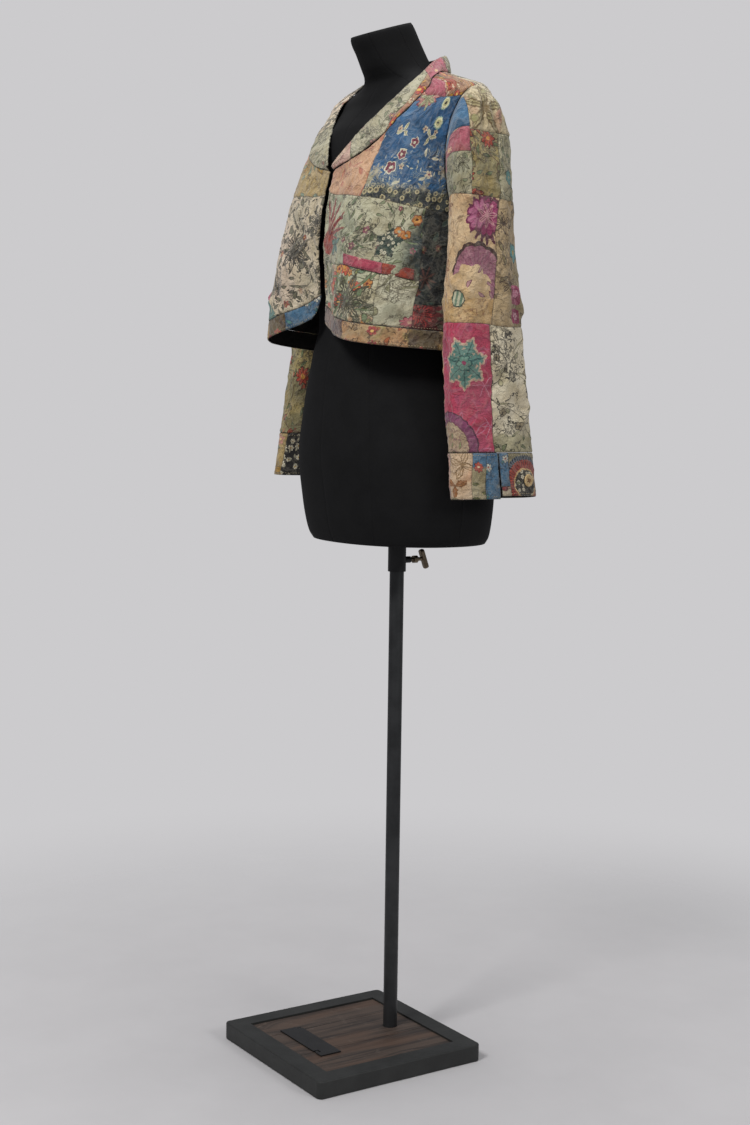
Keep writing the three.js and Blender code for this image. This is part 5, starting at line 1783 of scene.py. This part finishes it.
def add_sleeves():
    for node, side in (("sleeve_left", 1), ("sleeve_right", -1)):
        middle = sleeve_row(np.array(6.0), side)
        turns, turn_length = even_steps(
            lambda t: sleeve_point(middle, t, side, 0, False), -math.pi, math.pi, 124,
        )
        rows, _ = even_steps(lambda r: sleeve_surface(np.zeros(r.shape), r, side), -1, SLEEVE_LAST, 196)
        centre = float(turn_length(0.0))
        to_x = lambda degrees, side=side: -side * (turn_length(np.radians(degrees)) - centre)
        p, q = np.meshgrid(turns, rows)
        points = sleeve_surface(p, q, side)
        steps = np.linalg.norm(np.diff(points, axis=0), axis=2)
        above = np.concatenate([np.cumsum(steps[::-1], axis=0)[::-1], np.zeros((1, steps.shape[1]))])
        y = points[-1, :, 2][None, :] + above
        x = -side * (turn_length(p) - centre)
        place = lambda t, r, out, side=side: sleeve_surface(t, r, side, out)
        pieced_cloth(node, p, q, x, y, place, sleeve_tree(side > 0, RIGHT_LIFT * (side < 0)), to_x,
                     CREASES[node], crumple=0.7)


def add_cuffs():
    for node, side in (("cuff_left", 1), ("cuff_right", -1)):
        shares, length = even_steps(lambda u: cuff_surface(u, np.full(u.shape, 0.5), side), 0, 1, 130)
        to_x = lambda share, side=side: -side * length(share)
        u, v = np.meshgrid(shares, np.linspace(0, 1, 28))
        place = lambda a, b, out, side=side: cuff_surface(a, b, side, out)
        pieced_cloth(node, u, v, to_x(u), (1 - v) * CUFF["height"], place, CUFF_TREE[side], to_x, crumple=0.5)


def add_collar():
    ways, length = even_steps(lambda w: collar_surface(w, np.full(w.shape, 0.5)), 0, 2 * NECK_LAST, 230)
    w, v = np.meshgrid(ways, np.linspace(0, 1, 20))
    pieced_cloth(
        "collar", w, v, length(w), v * COLLAR_HEIGHT, collar_surface, COLLAR_TREE, length, crumple=0.6,
        seam_rise=0.8,
    )


def add_welt():
    u, v = np.meshgrid(np.linspace(0, 1, 50), np.linspace(0, 1, 12))
    angle = np.radians(mix(WELT["from"], WELT["to"], u))
    z = mix(WELT["z_from"], WELT["z_to"], u) + WELT["height"] * (v - 0.5)
    place = lambda a, height, out: body_surface(a, height, out + LAID_OUT + 0.3)
    pieced_cloth(
        "pocket_welt", angle, z, GIRTH(angle), z, place, WELT_TREE, girth_at, crumple=0.25, seam_rise=0.7,
    )


CREASES = {  # from, height, to, height, width, depth
    "front_left": [
        (14, 1330, 40, 1290, 5, -1.4), (30, 1180, 52, 1215, 5, -1.5), (68, 1290, 50, 1215, 6, 2.0),
        (78, 1330, 60, 1390, 6, 2.2), (72, 1240, 58, 1180, 5, -1.6), (20, 1160, 30, 1250, 6, 1.6),
        (48, 1470, 66, 1420, 5, -1.6), (80, 1420, 62, 1470, 5, 1.6), (36, 1400, 52, 1350, 6, 1.3),
    ],
    "front_right": [
        (12, 1320, 34, 1270, 5, -1.5), (28, 1190, 50, 1230, 6, 1.8), (66, 1300, 48, 1230, 6, 2.0),
        (76, 1330, 60, 1400, 6, 2.0), (20, 1180, 34, 1240, 5, -1.4), (50, 1460, 70, 1420, 5, -1.6),
    ],
    "back": [
        (100, 1330, 130, 1400, 7, 2.2), (104, 1300, 140, 1340, 6, -1.6), (150, 1480, 190, 1500, 7, 1.6),
        (256, 1330, 228, 1400, 7, 2.2), (252, 1290, 215, 1340, 6, -1.6), (120, 1180, 150, 1260, 7, 1.8),
        (240, 1170, 210, 1250, 7, 1.8), (168, 1240, 172, 1380, 8, 1.5), (196, 1160, 204, 1280, 6, -1.4),
    ],
    "sleeve_left": [
        (80, 1290, 30, 1240, 6, -2.2), (85, 1240, 20, 1200, 6, 2.2), (60, 1330, 10, 1380, 6, 1.8),
        (-10, 1400, -50, 1330, 6, -1.8), (70, 1140, 25, 1100, 5, 1.6), (20, 1060, -30, 1120, 6, -1.6),
        (-40, 1240, -80, 1170, 6, 2.0), (60, 1010, 15, 1030, 5, 1.4), (-25, 1010, -70, 1060, 6, 1.6),
        (150, 1250, 110, 1180, 6, 2.2), (-150, 1240, -110, 1160, 6, 2.0),
        (22, 1497, 26, 1440, 4, -1.7), (6, 1500, 8, 1430, 4, -1.8), (-14, 1498, -18, 1440, 4, -1.6),
        (14, 1500, 16, 1450, 3.5, 1.5), (-4, 1502, -5, 1450, 3.5, 1.5),
    ],
    "sleeve_right": [
        (80, 1300, 30, 1250, 6, -2.2), (85, 1230, 20, 1190, 6, 2.2), (60, 1340, 10, 1390, 6, 1.8),
        (-10, 1400, -50, 1330, 6, -1.8), (70, 1150, 25, 1110, 5, 1.6), (20, 1070, -30, 1130, 6, -1.6),
        (-40, 1230, -80, 1160, 6, 2.0), (150, 1250, 110, 1180, 6, 2.2), (-150, 1230, -110, 1160, 6, 2.0),
        (16, 1497, 18, 1440, 4, -1.7), (-2, 1500, -2, 1430, 4, -1.7), (-18, 1498, -20, 1440, 4, -1.6),
    ],
}


# ---------------------------------------------------------------- thread
def stitches(name, cloth, path, step=4.4, size=2.9, thick=0.34, material=THREAD):
    """A row of stitches that lie on a piece's cloth along a path of points in millimetres."""
    mesh = cloth.data
    ground = BVHTree.FromPolygons([v.co for v in mesh.vertices], [tuple(p.vertices) for p in mesh.polygons])
    path = np.asarray(path) * MM
    lengths = np.concatenate([[0], np.cumsum(np.linalg.norm(np.diff(path, axis=0), axis=1))])
    count = int(lengths[-1] / (step * MM))
    bm = bmesh.new()
    for i in range(count):
        spots = []
        for share in (-0.5, -0.2, 0.2, 0.5):
            along = (i + 0.5) * step * MM + share * size * MM
            guess = Vector([float(np.interp(along, lengths, path[:, k])) for k in range(3)])
            spot, normal, _, _ = ground.find_nearest(guess)
            lift = -0.12 if abs(share) > 0.4 else 0.16
            spots.append((spot + normal * lift * MM, normal))
        ahead = (spots[3][0] - spots[0][0]).normalized()
        rings = []
        for spot, normal in spots[1:3]:
            beside = ahead.cross(normal).normalized()
            ring = [spot + (beside * math.cos(a) + normal * math.sin(a)) * thick * MM
                    for a in np.linspace(0, 2 * math.pi, 7)[:-1]]
            rings.append([bm.verts.new(p) for p in ring])
        tips = [bm.verts.new(spots[0][0]), bm.verts.new(spots[3][0])]
        for k in range(6):
            n = (k + 1) % 6
            bm.faces.new((tips[0], rings[0][n], rings[0][k]))
            bm.faces.new((rings[0][k], rings[0][n], rings[1][n], rings[1][k]))
            bm.faces.new((tips[1], rings[1][k], rings[1][n]))
    piece = make_piece(name, bm, [material])
    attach(piece, "form")


def add_stitches():
    for node, side in (("front_left", 1), ("front_right", -1)):
        low = float(hem_height(FRONT_CORNER, side))
        z = np.linspace(low + HEM_BAND + 4, NECKLINE["z"][0] - 6, 200)
        edge = front_edge(side, z) + math.radians(1.3)
        stitches(f"front_stitches_{node[6:]}", cloths[node], body_surface(side * edge, z, CLOTH))
        angle = np.linspace(float(front_edge(side, np.array(low + HEM_BAND))) + 0.03, math.pi / 2 - 0.02, 300)
        z = hem_height(angle, side) + HEM_BAND + 2.6
        stitches(f"hem_seam_stitches_{node[6:]}", cloths[node], body_surface(side * angle, z, CLOTH))
        z = hem_height(angle, side) + 3.4
        stitches(
            f"hem_stitches_{node[6:]}", cloths[f"hem_band_{node[6:]}"], body_surface(side * angle, z, CLOTH),
        )
    angle = np.linspace(math.pi / 2 + 0.02, 1.5 * math.pi - 0.02, 400)
    z = hem_height(angle, 1)
    stitches("hem_seam_stitches_back", cloths["back"], body_surface(angle, z + HEM_BAND + 2.6, CLOTH))
    stitches("hem_stitches_back", cloths["hem_band_back"], body_surface(angle, z + 3.4, CLOTH))
    ways = np.linspace(0.15, 2 * NECK_LAST - 0.15, 500)
    stitches("collar_stitches", cloths["collar"], collar_surface(ways, np.full(ways.shape, 0.9), CLOTH))
    for node, side in (("cuff_left", 1), ("cuff_right", -1)):
        u = np.linspace(0.012, 0.988, 400)
        for row, v in (("edge", 0.945), ("top", 0.05)):
            stitches(
                f"{node}_{row}_stitches", cloths[node], cuff_surface(u, np.full(u.shape, v), side, CLOTH),
            )
    u = np.linspace(0.02, 0.98, 120)
    for row, v in (("top", 0.84), ("low", 0.16)):
        angle = np.radians(mix(WELT["from"], WELT["to"], u))
        z = mix(WELT["z_from"], WELT["z_to"], u) + WELT["height"] * (v - 0.5)
        stitches(f"welt_{row}_stitches", cloths["pocket_welt"], body_surface(angle, z, LAID_OUT + CLOTH),
                 3.4, 2.3, 0.3, DARK_THREAD)


def add_button_thread():
    """Two strands over each button, from hole to hole, sunk into the holes at their ends."""
    for node in ("cuff_button_left", "cuff_button_right"):
        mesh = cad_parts[node].data
        points = np.array([v.co for v in mesh.vertices])
        middle = points.mean(axis=0)
        _, _, axes = np.linalg.svd(points - middle)
        out = axes[2] * np.sign(np.dot(axes[2], [math.copysign(1, middle[0]), -0.3, 0]))
        first = np.cross(out, [0, 0, 1])
        first /= np.linalg.norm(first)
        second = np.cross(out, first)
        face = float(((points - middle) @ out).max())
        half = 2.6 * MM
        bm = bmesh.new()
        for across in (-1, 1):
            ends = [middle + first * across * half * 0.7 + second * way * half for way in (-1, 1)]
            for strand in (-0.45, 0.0, 0.45):
                spine = []
                for t in np.linspace(0, 1, 9):
                    lift = face - 1.0 * MM + 1.5 * MM * math.sin(math.pi * t) ** 0.6
                    spine.append(mix(ends[0], ends[1], t) + out * lift + first * strand * MM)
                add_tube(bm, spine, 0.27 * MM)
        piece = make_piece(node + "_thread", bm, [BUTTON_THREAD])
        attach(piece, "form")


def add_tube(bm, spine, radius, sides=6):
    rings = []
    for i, at in enumerate(spine):
        ahead = np.asarray(spine[min(i + 1, len(spine) - 1)]) - np.asarray(spine[max(i - 1, 0)])
        ahead = Vector(ahead).normalized()
        beside = ahead.orthogonal().normalized()
        other = ahead.cross(beside)
        turns = np.linspace(0, 2 * math.pi, sides + 1)[:-1]
        ring = [(beside * math.cos(a) + other * math.sin(a)) * radius for a in turns]
        rings.append([bm.verts.new(Vector(at) + away) for away in ring])
    for a, b in zip(rings, rings[1:]):
        bridge(bm, a, b)
    bm.faces.new(rings[0][::-1])
    bm.faces.new(rings[-1])


def bridge(bm, a, b):
    """Faces between two closed rows of points."""
    for k in range(len(a)):
        n = (k + 1) % len(a)
        bm.faces.new((a[k], a[n], b[n], b[k]))


# ---------------------------------------------------------------- dress form and stand
FORM_SEAMS = (0, 34, -34, 90, -90, 146, -146, 180)  # degrees round from the front
FORM_ROWS = 190
FORM_BORE = 12.6


def add_form():
    """The form's cover, with a narrow groove along each panel seam, closed round the socket below."""
    turns = list(np.linspace(-180, 180, 145)[:-1])
    for seam in FORM_SEAMS:
        turns = [t for t in turns if abs(turn_between(math.radians(t), math.radians(seam))) > 0.02]
        turns += [seam - 0.7, seam - 0.3, seam, seam + 0.3, seam + 0.7]
    turns = np.radians(np.sort([(t + 180.9) % 360 - 180.9 for t in turns]))
    z = np.linspace(FORM_SECTIONS["z"][0], FORM_SECTIONS["z"][-1], FORM_ROWS)
    angle, height = np.meshgrid(turns, z)
    points = section_point(form_section(height), angle, height)
    groove = np.zeros(angle.shape)
    for seam in FORM_SEAMS:
        away = np.abs(turn_between(angle, math.radians(seam))) * 150
        groove = np.maximum(groove, np.exp(-(away / 0.9) ** 2))
    inward = unit(points * [1, 1, 0])
    points = points - inward * (0.7 * groove)[..., None]
    bm = bmesh.new()
    grid = [[bm.verts.new(p * MM) for p in row] for row in points]
    ring = [(FORM_BORE * math.sin(a), -FORM_BORE * math.cos(a), z[0]) for a in turns]
    rows = [[bm.verts.new([c * MM for c in p]) for p in ring], *grid]
    middle = points[-1].mean(axis=0)
    for share in (0.86, 0.5, 0.2):
        shrunk = middle + (points[-1] - middle) * share + [0, 0, 0.8 * (1 - share)]
        rows.append([bm.verts.new(p * MM) for p in shrunk])
    for a, b in zip(rows, rows[1:]):
        bridge(bm, a, b)
    bm.faces.new(rows[-1])
    piece = make_piece("dress_form_cover", bm, [JERSEY])
    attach(piece, "form")
    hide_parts("dress_form")


def dress_stand():
    slots = {
        "base_frame": FRAME_PAINT, "base_plank_1": WOOD, "base_plank_2": WOOD, "base_plank_3": WOOD,
        "base_plate": BLACK_STEEL, "plate_screw_1": BLACK_STEEL, "plate_screw_2": BLACK_STEEL,
        "pole": STEEL, "socket": BLACK_STEEL, "thumb_screw": BRONZE,
        "cuff_button_left": HORN, "cuff_button_right": HORN,
    }
    for node, material in slots.items():
        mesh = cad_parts[node].data
        mesh.materials.clear()
        mesh.materials.append(material)


# ---------------------------------------------------------------- studio
CAMERA_PLACE = Vector((2.270369, -1.535841, 1.051532))
CAMERA_TURN = 56.66  # degrees from the jacket's front to the camera's line of sight
CAMERA_PITCH = 5.44
CAMERA_ROLL = 0.80
CAMERA_LENS = 54.88
LIGHTS = [  # name, place, aim, size, power
    ("key", (1.0, -2.8, 3.4), (0, 0, 1.2), 1.1, 84),
    ("side", (3.6, 1.0, 2.4), (0, 0, 1.2), 1.2, 36),
    ("top", (-0.2, 0.2, 4.2), (0, 0, 0.6), 1.8, 44),
]
BACKDROP_TINT = "cccbcd"
WORLD_TINT = "d6d6da"
WORLD_STRENGTH = 0.42
FLOOR_RADIUS = 9.0
FLOOR_FADE = (0.3, 1.7)  # metres out, from all floor to none


def add_camera():
    turn, pitch, roll = (math.radians(a) for a in (CAMERA_TURN, CAMERA_PITCH, CAMERA_ROLL))
    ahead = Vector((-math.sin(turn) * math.cos(pitch), math.cos(turn) * math.cos(pitch), -math.sin(pitch)))
    right = Vector((math.cos(turn), math.sin(turn), 0))
    up = right.cross(ahead)
    level_right = right * math.cos(roll) + up * math.sin(roll)
    level_up = up * math.cos(roll) - right * math.sin(roll)
    lens = bpy.data.cameras.new("camera")
    lens.lens = CAMERA_LENS
    lens.sensor_width = 36
    lens.sensor_fit = "AUTO"
    camera = bpy.data.objects.new("camera", lens)
    axes = Matrix((level_right, level_up, -ahead)).transposed().to_4x4()
    camera.matrix_world = Matrix.Translation(CAMERA_PLACE) @ axes
    bpy.context.scene.collection.objects.link(camera)
    bpy.context.scene.camera = camera


def area_light(name, place, aim, size, power):
    light = bpy.data.lights.new(name, "AREA")
    light.shape = "DISK"
    light.size = size
    light.energy = power
    lamp = bpy.data.objects.new(name, light)
    lamp.location = place
    lamp.rotation_euler = (Vector(aim) - Vector(place)).to_track_quat("-Z", "Y").to_euler()
    bpy.context.scene.collection.objects.link(lamp)


def add_studio():
    bm = bmesh.new()
    bmesh.ops.create_circle(bm, cap_ends=True, segments=96, radius=FLOOR_RADIUS)
    floor = make_piece("floor", bm, [FLOOR])
    world = bpy.data.worlds.new("studio")
    world.use_nodes = True
    net = Net(world.node_tree)
    lit = world.node_tree.nodes["Background"]
    set_shader(net, lit, {"Color": srgb(WORLD_TINT), "Strength": WORLD_STRENGTH})
    seen = net.out(net.node("ShaderNodeBackground", {"Color": srgb(BACKDROP_TINT), "Strength": 1.0}))
    camera_ray = net.outs(net.node("ShaderNodeLightPath"))["Is Camera Ray"]
    blend = net.node("ShaderNodeMixShader", {0: camera_ray, 1: net.out(lit), 2: seen})
    net.put(net.out(blend), net.tree.nodes["World Output"].inputs["Surface"])
    bpy.context.scene.world = world
    bpy.context.scene.view_settings.view_transform = "Standard"
    for name, place, aim, size, power in LIGHTS:
        area_light(name, place, aim, size, power)


def floor_material():
    """Pale floor that fades into the studio's own light far off."""
    material, net, shader = new_material("pale_floor")
    place = net.outs(net.node("ShaderNodeTexCoord"))["Object"]
    set_shader(
        net, shader, {"Base Color": clouded(net, place, 5.0, 4.0, "c6c4c5", "cac8c9"), "Roughness": 0.95},
    )
    x, y, _ = net.parts(place)
    clear = net.out(net.node("ShaderNodeBsdfTransparent"))
    fade = net.ramp(net.length(x, y), *FLOOR_FADE)
    blend = net.node("ShaderNodeMixShader", {0: fade, 1: net.out(shader), 2: clear})
    net.put(net.out(blend), net.tree.nodes["Material Output"].inputs["Surface"])
    return material


def wood_material():
    """Old dark boards, with grain along their length and a few knots."""
    material, net, shader = new_material("dark_old_wood")
    place = net.outs(net.node("ShaderNodeTexCoord"))["Object"]
    cells = {"Vector": net.vector("MULTIPLY", place, (9, 5, 9)), "Scale": 1.0}
    knots = net.outs(net.node("ShaderNodeTexVoronoi", cells))["Distance"]
    pull = net.out(net.node("ShaderNodeCombineXYZ", {0: net.ramp(knots, 0.34, 0.02) * 5.0}))
    bent = net.vector("ADD", net.vector("MULTIPLY", place, (130, 5.5, 20)), pull)
    grain = net.noise(bent, 1.0, 5.0, 0.62, 0.5)
    warm = net.noise(net.vector("MULTIPLY", place, (24, 5, 5)), 1.0, 2.0, 0.5)
    dust = net.noise(place, 60.0, 4.0, 0.7)
    colour = net.mix(net.ramp(grain, 0.32, 0.66), srgb("29221f"), srgb("51433a"))
    colour = lay(net, colour, net.ramp(warm, 0.5, 0.68) * 0.35, "664a38")
    colour = lay(net, colour, net.ramp(knots, 0.16, 0.05) * 0.75, "1c1512")
    colour = lay(net, colour, net.ramp(dust, 0.55, 0.75) * 0.18, "8a7d72")
    relief = net.bump(0.5, 0.0008, grain)
    set_shader(net, shader, {"Base Color": colour, "Normal": relief, "Roughness": 0.62})
    return material


BUTTON_THREAD = simple_material("red_brown_thread", "7a4634", "5c3226", 900, 0.85, 0.2)
FLOOR = floor_material()
WOOD = wood_material()

add_form()
add_body_cloth()
add_hem_bands()
add_sleeves()
add_cuffs()
add_collar()
add_welt()
add_stitches()
add_button_thread()
dress_stand()
add_studio()
add_camera()
